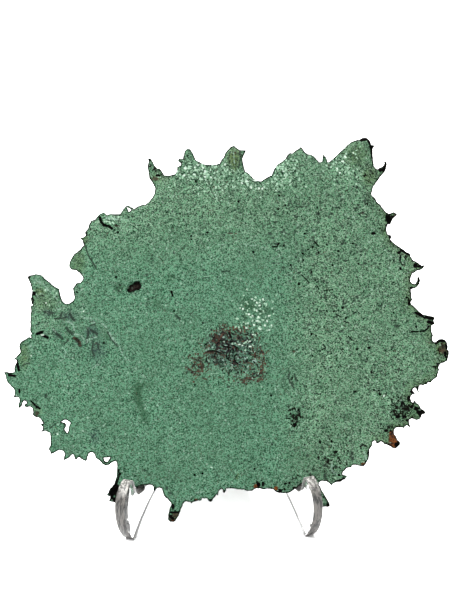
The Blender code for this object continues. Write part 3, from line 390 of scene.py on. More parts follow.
RUSTS = [
    (155.0, 178.5, 3.6, 1.9), (396.3, 215.0, 2.0, 1.6), (362.5, 213.0, 1.2, 1.0), (294.0, 351.5, 1.5, 1.2),
    (230.0, 233.5, 2.6, 0.8), (236.0, 233.5, 1.1, 0.8), (37.0, 413.5, 2.0, 2.5), (403.0, 254.5, 1.2, 0.8),
    (216.0, 337.0, 2.6, 2.8), (225.0, 333.0, 1.9, 1.9), (240.0, 331.0, 3.2, 1.5), (256.5, 334.0, 2.2, 1.9),
    (252.5, 337.3, 1.5, 1.0), (213.5, 341.0, 2.6, 1.2), (443.5, 349.0, 4.6, 5.6),
    (176.0, 514.5, 3.4, 3.2), (172.5, 518.5, 3.0, 2.6), (250.5, 377.5, 1.4, 1.3), (259.5, 379.5, 1.5, 1.9),
    (228.5, 387.0, 1.4, 1.0), (333.0, 506.0, 1.2, 1.3), (90.0, 229.0, 0.9, 1.0), (103.8, 342.6, 0.9, 0.9),
]
COPPERS = [
    (256.0, 486.2, 2.5, 2.2), (276.0, 488.3, 2.1, 1.9), (196.3, 500.0, 1.3, 1.6), (173.0, 520.7, 2.8, 1.0),
    (363.6, 464.4, 2.2, 1.9),
]
COPPER_LINES = [
    ([(393.0, 434.0), (392.0, 443.0)], 3.6), ([(393.0, 440.0), (396.0, 446.0)], 3.6),
    ([(336.0, 483.5), (341.0, 482.8)], 0.8),
]
RUST_LINES = [
    (RED_CREASE, 1.7), ([(115.5, 225.5), (119.0, 226.2)], 1.1), ([(206.0, 352.5), (214.0, 352.5)], 1.1),
    ([(220.0, 354.5), (226.0, 355.5)], 1.0), ([(191.0, 358.0), (197.0, 360.0), (201.0, 361.0)], 0.9),
    ([(201.0, 361.0), (203.5, 365.0), (202.5, 370.0)], 1.0),
    ([(188.0, 368.0), (193.0, 372.0), (203.0, 371.0)], 0.8),
    ([(193.0, 375.0), (200.0, 375.3)], 0.6), ([(203.0, 378.0), (206.5, 379.5)], 0.9),
    ([(194.0, 364.0), (195.0, 368.5)], 0.7), ([(240.0, 380.0), (246.0, 379.8), (252.0, 376.5)], 1.0),
    ([(242.0, 382.5), (246.5, 384.0)], 0.8), ([(260.0, 380.0), (263.0, 376.0), (262.5, 372.0)], 0.8),
    ([(263.0, 368.0), (262.0, 360.0)], 0.8), ([(251.0, 354.5), (257.0, 355.5)], 0.9),
    ([(248.0, 362.5), (253.0, 364.0)], 0.8), ([(338.0, 482.3), (343.0, 481.3)], 0.8),
]
# Painted highlights: small near-white glints, each an oval at its place.
PAINTED_GLINTS = [
    (185.0, 168.0, 1.4, 0.9), (195.0, 167.0, 0.9, 1.1), (194.0, 174.5, 1.2, 0.8), (184.0, 175.0, 1.1, 0.8),
    (205.0, 171.0, 1.0, 1.2), (205.0, 176.5, 1.0, 0.8), (203.0, 167.5, 0.8, 0.9), (211.0, 177.0, 1.2, 0.8),
    (198.0, 164.5, 0.9, 0.7), (225.0, 164.0, 0.8, 1.1), (247.0, 181.0, 1.2, 0.9), (251.0, 187.0, 0.9, 1.2),
    (242.0, 183.0, 1.0, 0.8), (255.5, 180.0, 2.4, 0.8), (259.0, 188.0, 0.8, 1.1), (262.5, 188.5, 0.9, 1.0),
    (284.0, 171.0, 1.0, 0.8), (285.0, 175.0, 0.8, 1.0), (354.0, 152.5, 1.0, 0.8), (345.5, 156.0, 1.0, 1.8),
    (343.0, 161.0, 1.0, 0.9), (337.5, 168.0, 0.8, 1.4), (340.0, 172.5, 1.0, 0.9), (243.0, 309.0, 0.9, 1.0),
    (249.0, 314.0, 1.0, 0.9), (252.5, 316.0, 1.1, 0.8), (257.0, 303.0, 0.9, 1.2), (259.5, 305.5, 1.0, 0.8),
    (257.0, 311.0, 0.8, 1.3), (258.0, 317.0, 1.1, 0.8), (257.0, 321.0, 1.7, 0.8), (254.0, 325.0, 0.9, 1.2),
    (260.0, 329.0, 1.5, 0.8), (265.0, 325.0, 0.9, 1.2), (269.0, 316.0, 1.1, 0.8), (267.0, 321.0, 0.8, 1.2),
    (246.5, 328.0, 1.0, 0.8), (271.5, 325.0, 0.8, 1.0), (252.0, 299.0, 1.0, 0.7), (240.0, 308.0, 0.8, 0.8),
    (46.0, 303.0, 0.9, 0.6), (83.5, 311.5, 0.8, 0.9), (31.0, 356.0, 0.6, 0.8), (239.5, 344.5, 1.4, 0.7),
    (242.5, 345.5, 1.1, 0.7), (250.0, 346.5, 1.2, 0.7), (250.0, 341.0, 0.9, 0.7), (253.0, 334.5, 1.3, 0.6),
    (42.0, 335.0, 1.4, 0.8), (211.5, 467.5, 0.9, 0.4), (207.0, 464.0, 0.4, 0.5), (57.5, 434.0, 0.8, 0.8),
    (384.0, 396.0, 0.8, 1.1), (248.0, 323.0, 0.8, 0.8), (263.0, 299.0, 0.8, 0.9), (269.0, 330.0, 0.9, 0.7),
]
# Pale lines: painted highlights along the lips of the fold and the creases, and a few pale scratches.
PALE_SCRATCHES_AND_HIGHLIGHTS = [
    ([(218.0, 244.5), (224.0, 244.5)], 0.5), ([(241.5, 244.4), (248.0, 244.2)], 0.5),
    ([(250.0, 245.6), (256.0, 245.4)], 0.5), ([(83.0, 303.5), (84.5, 306.5)], 0.5),
    ([(52.0, 328.0), (55.5, 332.0)], 0.9),
    ([(63.0, 323.0), (69.0, 321.5), (73.0, 324.5), (74.0, 330.0)], 0.8),
    ([(73.5, 334.5), (79.5, 334.5), (83.5, 338.0), (84.5, 342.0)], 0.9),
    ([(84.0, 318.0), (90.0, 318.0), (94.5, 322.5)], 0.8),
    ([(108.5, 331.0), (113.0, 339.0), (119.5, 346.5)], 0.9),
    ([(119.5, 346.5), (123.0, 356.0), (131.0, 362.0)], 0.7),
    ([(35.0, 279.0), (43.0, 284.0), (49.0, 291.0), (57.0, 299.0)], 0.8),
    ([(56.0, 310.0), (63.0, 308.0)], 0.6),
    ([(31.0, 345.0), (31.5, 352.0)], 0.6),
    ([(62.0, 347.0), (66.0, 352.0), (64.0, 359.0), (58.0, 362.0)], 0.5),
    ([(86.0, 343.0), (90.0, 338.5), (97.0, 337.0)], 0.7), ([(101.0, 323.0), (107.0, 328.0)], 0.6),
    ([(92.0, 369.0), (97.0, 364.0), (103.0, 368.0)], 0.6),
    ([(86.0, 340.5), (91.0, 338.0)], 0.7),
    ([(120.0, 218.5), (129.0, 220.5)], 0.6), ([(106.0, 217.5), (118.0, 219.0)], 1.1),
    ([(191.0, 497.0), (196.0, 493.0), (203.0, 491.5)], 0.8), ([(233.5, 151.0), (234.5, 163.0)], 0.5),
    ([(364.0, 452.0), (366.0, 459.0)], 0.8), ([(332.0, 462.0), (331.5, 470.0), (337.0, 475.0)], 0.8),
]


# Too many to place one by one: short scratches in the scar, brown ones round it, and pores at the right.
SCAR_X = 232.0
SCAR_Y = 352.0
SCAR_HALF_WIDTH = 33.0
SCAR_HALF_HEIGHT = 27.0
SHORTEST_SCRATCH = 0.6
THINNEST_SCRATCH = 0.35
draws = np.random.default_rng(7)


def scratches(number, ring_low, ring_high, longest):
    """Short lines drawn at random in an oval ring about the scar's middle."""
    lines = []
    for turn, ring, lean, long, wide in draws.random((number, 5)):
        far = ring_low + (ring_high - ring_low) * ring
        mid_x = SCAR_X + SCAR_HALF_WIDTH * far * math.cos(turn * math.tau)
        mid_y = SCAR_Y + SCAR_HALF_HEIGHT * far * math.sin(turn * math.tau)
        step_x = (SHORTEST_SCRATCH + long * longest) * math.cos(lean * math.pi)
        step_y = (SHORTEST_SCRATCH + long * longest) * math.sin(lean * math.pi)
        ends = [(mid_x - step_x, mid_y - step_y), (mid_x + step_x, mid_y + step_y)]
        lines.append((ends, THINNEST_SCRATCH * (1.0 + wide)))
    return lines


def pores(number, left, top, width, depth, widening):
    """Faint ovals drawn at random in a field that is deeper toward the right by the given share."""
    marks = []
    for across, down, size in draws.random((number, 3)):
        reach = 1.0 - widening + widening * across
        marks.append((left + width * across, top + depth * down * reach, 0.5 + size, 0.5 + 0.8 * size))
    return marks


dark_scratches = scratches(60, 0.0, 0.85, 1.3)
brown_scratches = scratches(90, 0.5, 1.15, 1.6)
faint_pores = pores(220, 270.0, 195.0, 100.0, 190.0, 0.6)
faint_pores += pores(30, 302.0, 438.0, 60.0, 44.0, 0.0)


def ovals(marks):
    """Ovals as rows: middle, direction, half sizes and a line's straight length, which an oval hasn't."""
    return [(mark_x, mark_y, 1.0, 0.0, wide, tall, 0.0) for mark_x, mark_y, wide, tall in marks]


def lengths(lines):
    """The straight lengths of lines as rows of the same kind."""
    rows = []
    for line, half_width in lines:
        for (x0, y0), (x1, y1) in zip(line, line[1:]):
            long = math.hypot(x1 - x0, y1 - y0)
            middle = ((x0 + x1) / 2, (y0 + y1) / 2)
            direction = ((x1 - x0) / long, (y1 - y0) / long)
            rows.append(middle + direction + (half_width, half_width, long / 2 / half_width))
    return rows


OUT_OF_REACH = 99.0
FARTHEST = 1e6


def lay(name, rows):
    """Stores where each face's corners lie in the frame of the mark nearest to that face, in its half sizes.

    The back has marks of its own kind, so none of these reaches it.
    """
    rows = np.array(rows)
    face_x = x[corners].mean(axis=1)
    face_y = y[corners].mean(axis=1)
    nearest = np.full(len(corners), FARTHEST)
    chosen = np.zeros(len(corners), int)
    for index, (mark_x, mark_y, along_x, along_y, half_width, half_height, straight) in enumerate(rows):
        along = abs((face_x - mark_x) * along_x + (face_y - mark_y) * along_y) / half_width
        across = abs((face_y - mark_y) * along_x - (face_x - mark_x) * along_y) / half_height
        away = (np.hypot(np.maximum(along - straight, 0.0), across) - 1.0) * half_width
        closer = away < nearest
        nearest[closer] = away[closer]
        chosen[closer] = index
    own = rows[chosen].repeat(3, axis=0).T
    away_x = x[corners].ravel() - own[0]
    away_y = y[corners].ravel() - own[1]
    along = (away_x * own[2] + away_y * own[3]) / own[4]
    across = (away_y * own[2] - away_x * own[3]) / own[5]
    along[(facing < -RIM_FACING).repeat(3)] = OUT_OF_REACH
    layer = mesh.attributes.new(name, "FLOAT_VECTOR", "CORNER")
    places = np.column_stack([along, across, own[6]]).astype(np.float32)
    layer.data.foreach_set("vector", places.ravel())


lay("holes", ovals(PIT + HOLES) + lengths(CRACKS + dark_scratches))
lay("shades", ovals(SHADES + faint_pores) + lengths(SHADED_LINES))
lay("rusts", ovals(RUSTS) + lengths(RUST_LINES + brown_scratches))
lay("coppers", ovals(COPPERS) + lengths(COPPER_LINES))
lay("painted_glints", ovals(PAINTED_GLINTS))
lay("pale_scratches_and_highlights", lengths(PALE_SCRATCHES_AND_HIGHLIGHTS))


def paint(name, values):
    """Stores one painted value at every vertex for the material to read."""
    layer = mesh.attributes.new(name, "FLOAT", "POINT")
    layer.data.foreach_set("value", np.clip(values, 0.0, 1.0).astype(np.float32))


# Wide changes of the skin, and fields of painted highlight and painted shade, each a middle, half width, half
# height and level: they fade out at their edges.
BLOTCHED = [(404.0, 408.0, 15.0, 13.0, 0.75), (387.0, 428.0, 9.0, 6.0, 0.5), (330.0, 462.0, 17.0, 22.0, 0.5),
            (294.0, 416.0, 8.0, 12.0, 0.78), (292.5, 379.0, 4.0, 9.0, 0.5), (370.0, 176.0, 9.0, 13.0, 0.55),
            (374.0, 204.0, 15.0, 12.0, 0.4), (443.0, 350.0, 8.0, 12.0, 0.55), (114.0, 492.0, 8.0, 9.0, 0.9),
            (155.0, 169.0, 10.0, 9.0, 0.6), (404.0, 258.0, 8.0, 10.0, 0.5), (318.0, 217.0, 8.0, 10.0, 0.35),
            (256.0, 486.0, 9.0, 5.0, 0.5), (198.0, 499.0, 9.0, 3.0, 0.6), (279.0, 489.0, 7.0, 5.0, 0.6),
            (305.0, 478.0, 14.0, 7.0, 0.4), (37.0, 296.0, 7.0, 6.0, 0.5), (174.0, 515.0, 7.0, 6.0, 0.6)]
OLIVE = [(234.0, 158.0, 6.0, 11.0, 1.0), (237.3, 476.0, 1.6, 3.2, 1.0), (43.0, 303.0, 11.0, 8.0, 0.4),
         (444.0, 347.0, 7.0, 8.0, 1.0), (24.0, 356.0, 5.0, 13.0, 0.6), (78.0, 262.0, 7.0, 12.0, 0.55),
         (371.0, 176.0, 8.0, 10.0, 0.6), (82.0, 239.0, 5.0, 6.0, 0.7), (356.0, 154.0, 12.0, 12.0, 0.4),
         (40.0, 292.0, 5.0, 3.5, 0.8), (36.0, 412.0, 5.0, 5.0, 0.5), (160.0, 176.0, 9.0, 6.0, 0.4)]
GREYED = [(91.5, 332.0, 6.5, 5.5, 1.0), (97.0, 350.0, 7.0, 11.0, 0.8), (69.0, 317.0, 6.5, 4.5, 1.0),
          (48.0, 312.5, 5.0, 2.5, 0.8), (95.0, 437.0, 4.0, 6.0, 0.8), (57.5, 335.0, 3.0, 4.0, 0.7),
          (79.0, 342.0, 5.0, 5.0, 0.6), (227.0, 346.0, 13.0, 9.0, 0.8),
          (218.0, 358.0, 10.0, 9.0, 0.6), (244.0, 346.0, 14.0, 8.0, 0.7), (236.0, 362.0, 14.0, 9.0, 0.5)]
# Fields of painted highlights: pale sparkle flecks, with flecks of painted shade between them.
PAINTED_SPARKLE = [(198.0, 172.0, 20.0, 9.0, 0.85), (248.0, 183.0, 16.0, 7.0, 0.75),
             (256.0, 314.0, 16.0, 17.0, 0.4), (284.0, 172.0, 13.0, 13.0, 0.55),
             (345.0, 163.0, 18.0, 16.0, 0.3), (230.0, 178.0, 55.0, 14.0, 0.4),
             (111.0, 219.0, 9.0, 4.5, 0.7), (47.0, 291.0, 14.0, 12.0, 0.12), (245.0, 343.0, 10.0, 6.0, 0.4)]
SCARRED = [(222.0, 343.0, 15.0, 12.0, 1.0), (240.0, 342.0, 16.0, 11.0, 0.85), (228.0, 357.0, 20.0, 9.0, 0.7),
           (197.0, 367.0, 10.0, 10.0, 0.25), (255.0, 362.0, 12.0, 16.0, 0.4), (246.0, 379.0, 10.0, 5.0, 0.35)]
RUSTY = [(216.0, 337.0, 7.0, 6.0, 0.7), (230.0, 330.5, 11.0, 4.0, 0.7), (245.0, 331.0, 7.0, 3.0, 0.5),
         (211.0, 349.0, 9.0, 5.0, 0.5), (197.0, 366.0, 10.0, 11.0, 0.5), (259.0, 361.0, 7.0, 17.0, 0.5),
         (247.0, 379.0, 12.0, 5.0, 0.5), (233.0, 350.0, 20.0, 14.0, 0.3)]
# Painted shade in the furrow and the side pit, and darker green patches elsewhere.
FURROW_SHADE_AND_DEEP_GREEN = [(137.5, 391.0, 4.0, 9.0, 1.0), (139.5, 402.0, 3.5, 9.0, 1.0), (143.5, 414.0, 3.0, 9.0, 0.9),
              (147.5, 423.0, 2.5, 5.0, 0.7), (146.0, 384.5, 7.0, 2.2, 0.8), (107.5, 335.0, 4.0, 4.0, 0.7),
              (119.5, 288.0, 4.0, 4.0, 0.9), (250.0, 305.0, 8.0, 7.0, 0.8), (266.0, 312.0, 6.0, 6.0, 0.7),
              (355.0, 155.0, 8.0, 8.0, 0.6), (157.0, 303.0, 5.0, 5.0, 0.6), (171.0, 278.0, 6.0, 4.0, 0.6)]

# The right side is scaly at its margin. The grain is loose above, on the right and on the left horn.
RIGHT_START = 355.0
RIGHT_FADE = 34.0
BELOW_TOP = 130.0
BELOW_TOP_FADE = 48.0
SCALY_WIDTH = 12.0
LOOSE_ABOVE = 290.0
LOOSE_ABOVE_FADE = 90.0
LOOSE_RIGHT_OF = 265.0
LOOSE_RIGHT_FADE = 60.0
LEFT_HORN = (45.0, 300.0, 32.0, 30.0)
PIT_FLOOR = [(131.0, 289.2), (134.5, 286.8), (137.5, 286.2)]
PIT_FLOOR_HALF_WIDTH = 3.8
MARGIN_WIDTH = 4.0
right_side = ease((x - RIGHT_START) / RIGHT_FADE) * ease((y - BELOW_TOP) / BELOW_TOP_FADE)
loose_above = ease((LOOSE_ABOVE - y) / LOOSE_ABOVE_FADE)
loose_grain = np.maximum(loose_above, ease((x - LOOSE_RIGHT_OF) / LOOSE_RIGHT_FADE))
loose_grain = np.maximum(loose_grain, 0.7 * spot(LEFT_HORN, 0.0, 0.9))
scaly_edge = right_side * (1.0 - ease(from_margin / SCALY_WIDTH))
forward = 1.0 - inner_back
paint("blotched", forward * np.maximum(spots_of(BLOTCHED, 0.8, 0.8), 0.45 * scaly_edge))
paint("olive", np.maximum(spots_of(OLIVE, 0.8, 0.6), 0.5 * scaly_edge))
paint("greyed", forward * spots_of(GREYED, 1.2, 0.8))
paint("painted_sparkle", forward * spots_of(PAINTED_SPARKLE, 1.0, 0.9))
paint("scarred", forward * spots_of(SCARRED, 1.4, 0.7))
paint("rusty", forward * spots_of(RUSTY, 1.4, 0.7))
paint("furrow_shade_and_deep_green", forward * spots_of(FURROW_SHADE_AND_DEEP_GREEN, 1.0, 0.7))
paint("pit_floor", forward * stroke(PIT_FLOOR, PIT_FLOOR_HALF_WIDTH))
paint("loose_grain", loose_grain)
paint("margin", 1.0 - from_margin / MARGIN_WIDTH)
# Strength of the margin's dark line: painted shade where the edge turns away all round, and black oxide,
# stronger on the right.
paint("margin_oxide_and_shade", 0.95 + 0.35 * grain(11.0, 97.0) + 0.4 * right_side)
paint("back", on_back.astype(float))

patina = bpy.data.materials.new("green_patina")
patina.use_nodes = True
tree = patina.node_tree
skin = tree.nodes["Principled BSDF"]


def add(kind, **settings):
    """A node in the tree being built, with its settings or input values."""
    node = tree.nodes.new(kind)
    for name, value in settings.items():
        if hasattr(node, name):
            setattr(node, name, value)
        else:
            node.inputs[name.replace("_", " ")].default_value = value
    return node


def wire(value, socket):
    """Feeds a socket with another node's output or with a plain value."""
    if isinstance(value, bpy.types.NodeSocket):
        tree.links.new(value, socket)
    else:
        socket.default_value = value


def maths(operation, first, second=0.0, held=True):
    """The result of a sum on one or two values, held between 0 and 1 if asked."""
    node = add("ShaderNodeMath", operation=operation, use_clamp=held)
    wire(first, node.inputs[0])
    wire(second, node.inputs[1])
    return node.outputs[0]


def ranged(value, low_in, high_in, low_out=0.0, high_out=1.0):
    """A value moved smoothly from one range to another."""
    node = add("ShaderNodeMapRange", interpolation_type="SMOOTHSTEP")
    wire(value, node.inputs["Value"])
    ends = {"From Min": low_in, "From Max": high_in, "To Min": low_out, "To Max": high_out}
    for name, level in ends.items():
        node.inputs[name].default_value = level
    return node.outputs["Result"]


def blended(share, first, second):
    """Two colours mixed by a share."""
    node = add("ShaderNodeMix", data_type="RGBA")
    wire(share, node.inputs[0])
    wire(first, node.inputs[6])
    wire(second, node.inputs[7])
    return node.outputs[2]


def noise_at(scale, detail, seed, rough=0.5):
    """A noise node in the material's own coordinates."""
    moved = add("ShaderNodeMapping")
    moved.inputs["Location"].default_value = (seed, seed * 0.7, seed * 0.3)
    tree.links.new(place, moved.inputs["Vector"])
    node = add("ShaderNodeTexNoise", Scale=scale, Detail=detail, Roughness=rough)
    tree.links.new(moved.outputs[0], node.inputs["Vector"])
    return node


def speckle(scale, detail, seed, rough=0.5):
    """Noise from 0 to 1, with the given number of grains a metre."""
    return noise_at(scale, detail, seed, rough).outputs["Fac"]


def painted(name):
    """One of the values painted on the vertices."""
    return add("ShaderNodeAttribute", attribute_name=name).outputs["Fac"]


def mark_share(name, wobble, soft):
    """How much of a mark of one kind covers a point: 1 inside its ragged outline and 0 outside it."""
    shaken = add("ShaderNodeVectorMath", operation="MULTIPLY_ADD")
    tree.links.new(shaker.outputs["Color"], shaken.inputs[0])
    shaken.inputs[1].default_value = (2.0 * wobble, 2.0 * wobble, 0.0)
    tree.links.new(add("ShaderNodeAttribute", attribute_name=name).outputs["Vector"], shaken.inputs[2])
    centred = add("ShaderNodeVectorMath", operation="SUBTRACT")
    tree.links.new(shaken.outputs[0], centred.inputs[0])
    centred.inputs[1].default_value = (wobble, wobble, 0.0)
    parts = add("ShaderNodeSeparateXYZ")
    tree.links.new(centred.outputs[0], parts.inputs[0])
    along = maths("ABSOLUTE", parts.outputs["X"], held=False)
    beyond = maths("SUBTRACT", along, parts.outputs["Z"], held=False)
    beyond = maths("MAXIMUM", beyond, 0.0, held=False)
    squares = maths("ADD", maths("POWER", beyond, 2.0, held=False),
                    maths("MULTIPLY", parts.outputs["Y"], parts.outputs["Y"], held=False), held=False)
    return ranged(maths("SQRT", squares, held=False), 1.0 + soft, 1.0 - soft)


def srgb(red_level, green_level, blue_level, share=1.0):
    """A colour given as it looks on a screen, from 0 to 255, dimmed to a share of its light."""
    levels = [level / 255.0 for level in (red_level, green_level, blue_level)]
    levels = [level / 12.92 if level <= 0.04045 else ((level + 0.055) / 1.055) ** 2.4 for level in levels]
    return tuple(level * share for level in levels) + (1.0,)


SKIN_SHARE = 0.315


def skin_color(red_level, green_level, blue_level):
    """A colour as the lit skin shows it: the lamps brighten its own colour."""
    return srgb(red_level, green_level, blue_level, SKIN_SHARE)


# The green itself: grains of three sizes with pale threads over them and dark pores between.
# Scales are grains a metre, and the grain is looser above and on the right.
CELL_SCALE = 2100.0
WEAVE_SCALE = 1950.0
THREAD_SCALE = 1050.0
THREAD_STRETCH = (0.8, 1.0, 1.3)
THREAD_HALF_WIDTH = 0.05
PORE_SCALE = 1500.0
MOTTLE_SCALE = 330.0
CLOUD_SCALE = 60.0
SHAKE_SCALE = 1100.0
calm_dark = skin_color(20, 74, 46)
calm_pale = skin_color(120, 190, 148)
loose_dark = skin_color(0, 26, 8)
loose_pale = skin_color(128, 194, 146)
calm_thread = skin_color(184, 230, 198)
loose_thread = skin_color(202, 246, 208)
pore_dark = skin_color(10, 34, 18)
mottle_dark = skin_color(56, 92, 72)
mottle_pale = skin_color(146, 196, 158)
cloud_green = skin_color(84, 130, 98)

place = add("ShaderNodeTexCoord").outputs["Object"]
shaker = noise_at(SHAKE_SCALE, 1.0, 7.3)
loose = painted("loose_grain")
cells = add("ShaderNodeTexVoronoi", feature="F1", Scale=CELL_SCALE, Randomness=1.0)
tree.links.new(place, cells.inputs["Vector"])
tones = add("ShaderNodeSeparateColor")
tree.links.new(cells.outputs["Color"], tones.inputs[0])
weave = speckle(WEAVE_SCALE, 1.0, 0.0, 0.8)
grains = maths("ADD", maths("MULTIPLY", ranged(tones.outputs[0], 0.1, 0.9), 0.52),
               maths("MULTIPLY", ranged(weave, 0.32, 0.68), 0.48))
calm_green = blended(ranged(grains, 0.20, 0.80), calm_dark, calm_pale)
loose_green = blended(ranged(grains, 0.26, 0.74), loose_dark, loose_pale)
color = blended(loose, calm_green, loose_green)
upright = place
fibres = add("ShaderNodeMapping")
fibres.inputs["Scale"].default_value = THREAD_STRETCH
tree.links.new(upright, fibres.inputs["Vector"])
place = fibres.outputs[0]
from_thread = maths("SUBTRACT", speckle(THREAD_SCALE, 1.0, 8.1, 0.6), 0.5, held=False)
thread = ranged(maths("ABSOLUTE", from_thread), THREAD_HALF_WIDTH, 0.012)
place = upright
thread = maths("MULTIPLY", thread, ranged(tones.outputs[1], 0.1, 0.5, 0.45, 1.0))
thread = maths("MULTIPLY", thread, ranged(loose, 0.0, 1.0, 0.65, 1.0))
color = blended(thread, color, blended(loose, calm_thread, loose_thread))
pores = ranged(speckle(PORE_SCALE, 0.0, 2.9), 0.32, 0.26)
color = blended(maths("MULTIPLY", pores, ranged(loose, 0.0, 1.0, 0.2, 1.0)), color, pore_dark)
mottle = speckle(MOTTLE_SCALE, 2.0, 5.3, 0.8)
color = blended(maths("MULTIPLY", loose, ranged(mottle, 0.5, 0.34, 0.0, 0.35)), color, mottle_dark)
color = blended(maths("MULTIPLY", loose, ranged(mottle, 0.5, 0.68, 0.0, 0.3)), color, mottle_pale)
clouds = ranged(speckle(CLOUD_SCALE, 4.0, 0.7, 0.6), 0.36, 0.66, 0.0, 0.25)
color = blended(clouds, color, cloud_green)

# Wide tints of the green, and painted shade in the furrow and the side pit.
furrow_shade_green = skin_color(42, 92, 56)
olive_dark = skin_color(52, 66, 30)
olive_pale = skin_color(124, 154, 92)
crease_grey = skin_color(50, 64, 74)
# Painted shade: darker green in the furrow and the side pit, and in a few darker green patches.
color = blended(maths("MULTIPLY", painted("furrow_shade_and_deep_green"), 0.75), color, furrow_shade_green)
olive = maths("MULTIPLY", painted("olive"), ranged(grains, 0.3, 0.6, 0.55, 0.95))
color = blended(olive, color, blended(ranged(grains, 0.3, 0.7), olive_dark, olive_pale))
greyed = maths("MULTIPLY", painted("greyed"), ranged(weave, 0.35, 0.6, 1.0, 0.35))
color = blended(greyed, color, crease_grey)

# Bare and oxidised places: the scar's brown and grey flecks, flaked black, rust, copper and the holes.
GRIT_SCALE = 640.0
FLECK_SCALE = 1500.0
FLAKE_SCALE = 520.0
scar_tint = skin_color(66, 86, 82)
scar_black = skin_color(30, 30, 28)
scar_pale = skin_color(176, 210, 196)
fleck_brown = skin_color(50, 32, 24)
fleck_tan = skin_color(112, 78, 58)
flake_black = skin_color(24, 24, 18)
shade_green = skin_color(36, 52, 42)
rust_dark = skin_color(30, 20, 14)
rust_pale = skin_color(92, 64, 46)
copper_dark = skin_color(48, 24, 6)
copper_bright = skin_color(146, 80, 22)
hole_black = skin_color(8, 7, 6)
floor_brown = skin_color(70, 62, 56)
scarred = painted("scarred")
grit = speckle(GRIT_SCALE, 2.0, 1.9, 0.9)
flecks = add("ShaderNodeTexVoronoi", feature="F1", Scale=FLECK_SCALE, Randomness=1.0)
tree.links.new(place, flecks.inputs["Vector"])
fleck_tones = add("ShaderNodeSeparateColor")
tree.links.new(flecks.outputs["Color"], fleck_tones.inputs[0])


def sown(amount, tone):
    """The share of flecks that an amount from 0 to 1 picks out by one of their random tones."""
    return ranged(maths("SUBTRACT", amount, fleck_tones.outputs[tone], held=False), -0.03, 0.03)


color = blended(maths("MULTIPLY", scarred, 0.3), color, scar_tint)
rusty_flecks = sown(maths("MULTIPLY", painted("rusty"), 0.7), 1)
color = blended(rusty_flecks, color, blended(ranged(grit, 0.4, 0.6), fleck_brown, fleck_tan))
color = blended(sown(maths("MULTIPLY", scarred, 0.52), 0), color, scar_black)
color = blended(sown(maths("MULTIPLY", scarred, 0.10), 2), color, scar_pale)
flakes = speckle(FLAKE_SCALE, 2.0, 4.1, 0.9)
flaked = maths("ADD", maths("MULTIPLY", painted("blotched"), 0.36), flakes, held=False)
flaked = ranged(flaked, 0.70, 0.76)
color = blended(flaked, color, flake_black)
color = blended(maths("MULTIPLY", mark_share("shades", 0.5, 0.45), 0.85), color, shade_green)
rust = blended(ranged(grit, 0.4, 0.6), rust_dark, rust_pale)
color = blended(maths("MULTIPLY", mark_share("rusts", 0.45, 0.3), 0.85), color, rust)
bare = blended(ranged(grit, 0.38, 0.62), copper_dark, copper_bright)
color = blended(mark_share("coppers", 0.4, 0.25), color, bare)
holes = mark_share("holes", 0.3, 0.16)
color = blended(holes, color, hole_black)
brown_floor = maths("MULTIPLY", painted("pit_floor"), ranged(weave, 0.35, 0.6, 0.35, 1.0))
color = blended(brown_floor, color, floor_brown)

# The margin's dark line of black oxide and painted shade, the stained back, and painted highlights: sparkle
# flecks, glints, and pale lines along lips, some of them scratches.
STAIN_SCALE = 70.0
margin_oxide_and_shade_black = skin_color(24, 28, 18)
stain_dark = skin_color(44, 32, 26)
stain_pale = skin_color(112, 86, 66)
painted_shade_between_sparkles = skin_color(44, 84, 58)
painted_sparkle_green = srgb(196, 238, 206, 0.36)
scratch_and_highlight_green = skin_color(180, 220, 196)
painted_glint_white = srgb(226, 248, 230, 0.46)
near_margin = maths("ADD", painted("margin"), maths("MULTIPLY", grains, 0.3), held=False)
# The margin's dark line: black oxide, and painted shade of the edge turning away.
rim_oxide_and_shade = maths("MULTIPLY", ranged(near_margin, 0.72, 0.95), painted("margin_oxide_and_shade"))
color = blended(rim_oxide_and_shade, color, margin_oxide_and_shade_black)
wide_stains = maths("MULTIPLY", speckle(STAIN_SCALE, 5.0, 4.7, 0.75), 0.8)
stained = maths("ADD", wide_stains, maths("MULTIPLY", grit, 0.2), held=False)
back_brown = maths("MULTIPLY", painted("back"), ranged(stained, 0.46, 0.62, 0.0, 0.85))
color = blended(back_brown, color, blended(ranged(grains, 0.3, 0.7), stain_dark, stain_pale))
painted_sparkle = painted("painted_sparkle")
# Painted sparkle: dark flecks of painted shade, then pale flecks of painted highlight.
color = blended(sown(maths("MULTIPLY", painted_sparkle, 0.26), 0), color, painted_shade_between_sparkles)
color = blended(sown(maths("MULTIPLY", painted_sparkle, 0.34), 2), color, painted_sparkle_green)
# Pale lines: painted highlights on the lips of the fold and creases, and a few pale scratches.
pale_scratches_and_highlights = maths("MULTIPLY", mark_share("pale_scratches_and_highlights", 1.0, 0.5), ranged(tones.outputs[1], 0.25, 0.6))
color = blended(maths("MULTIPLY", pale_scratches_and_highlights, 0.8), color, scratch_and_highlight_green)
# Painted highlights: the listed glints, drawn near-white over the green.
color = blended(mark_share("painted_glints", 1.1, 0.5), color, painted_glint_white)
tree.links.new(color, skin.inputs["Base Color"])

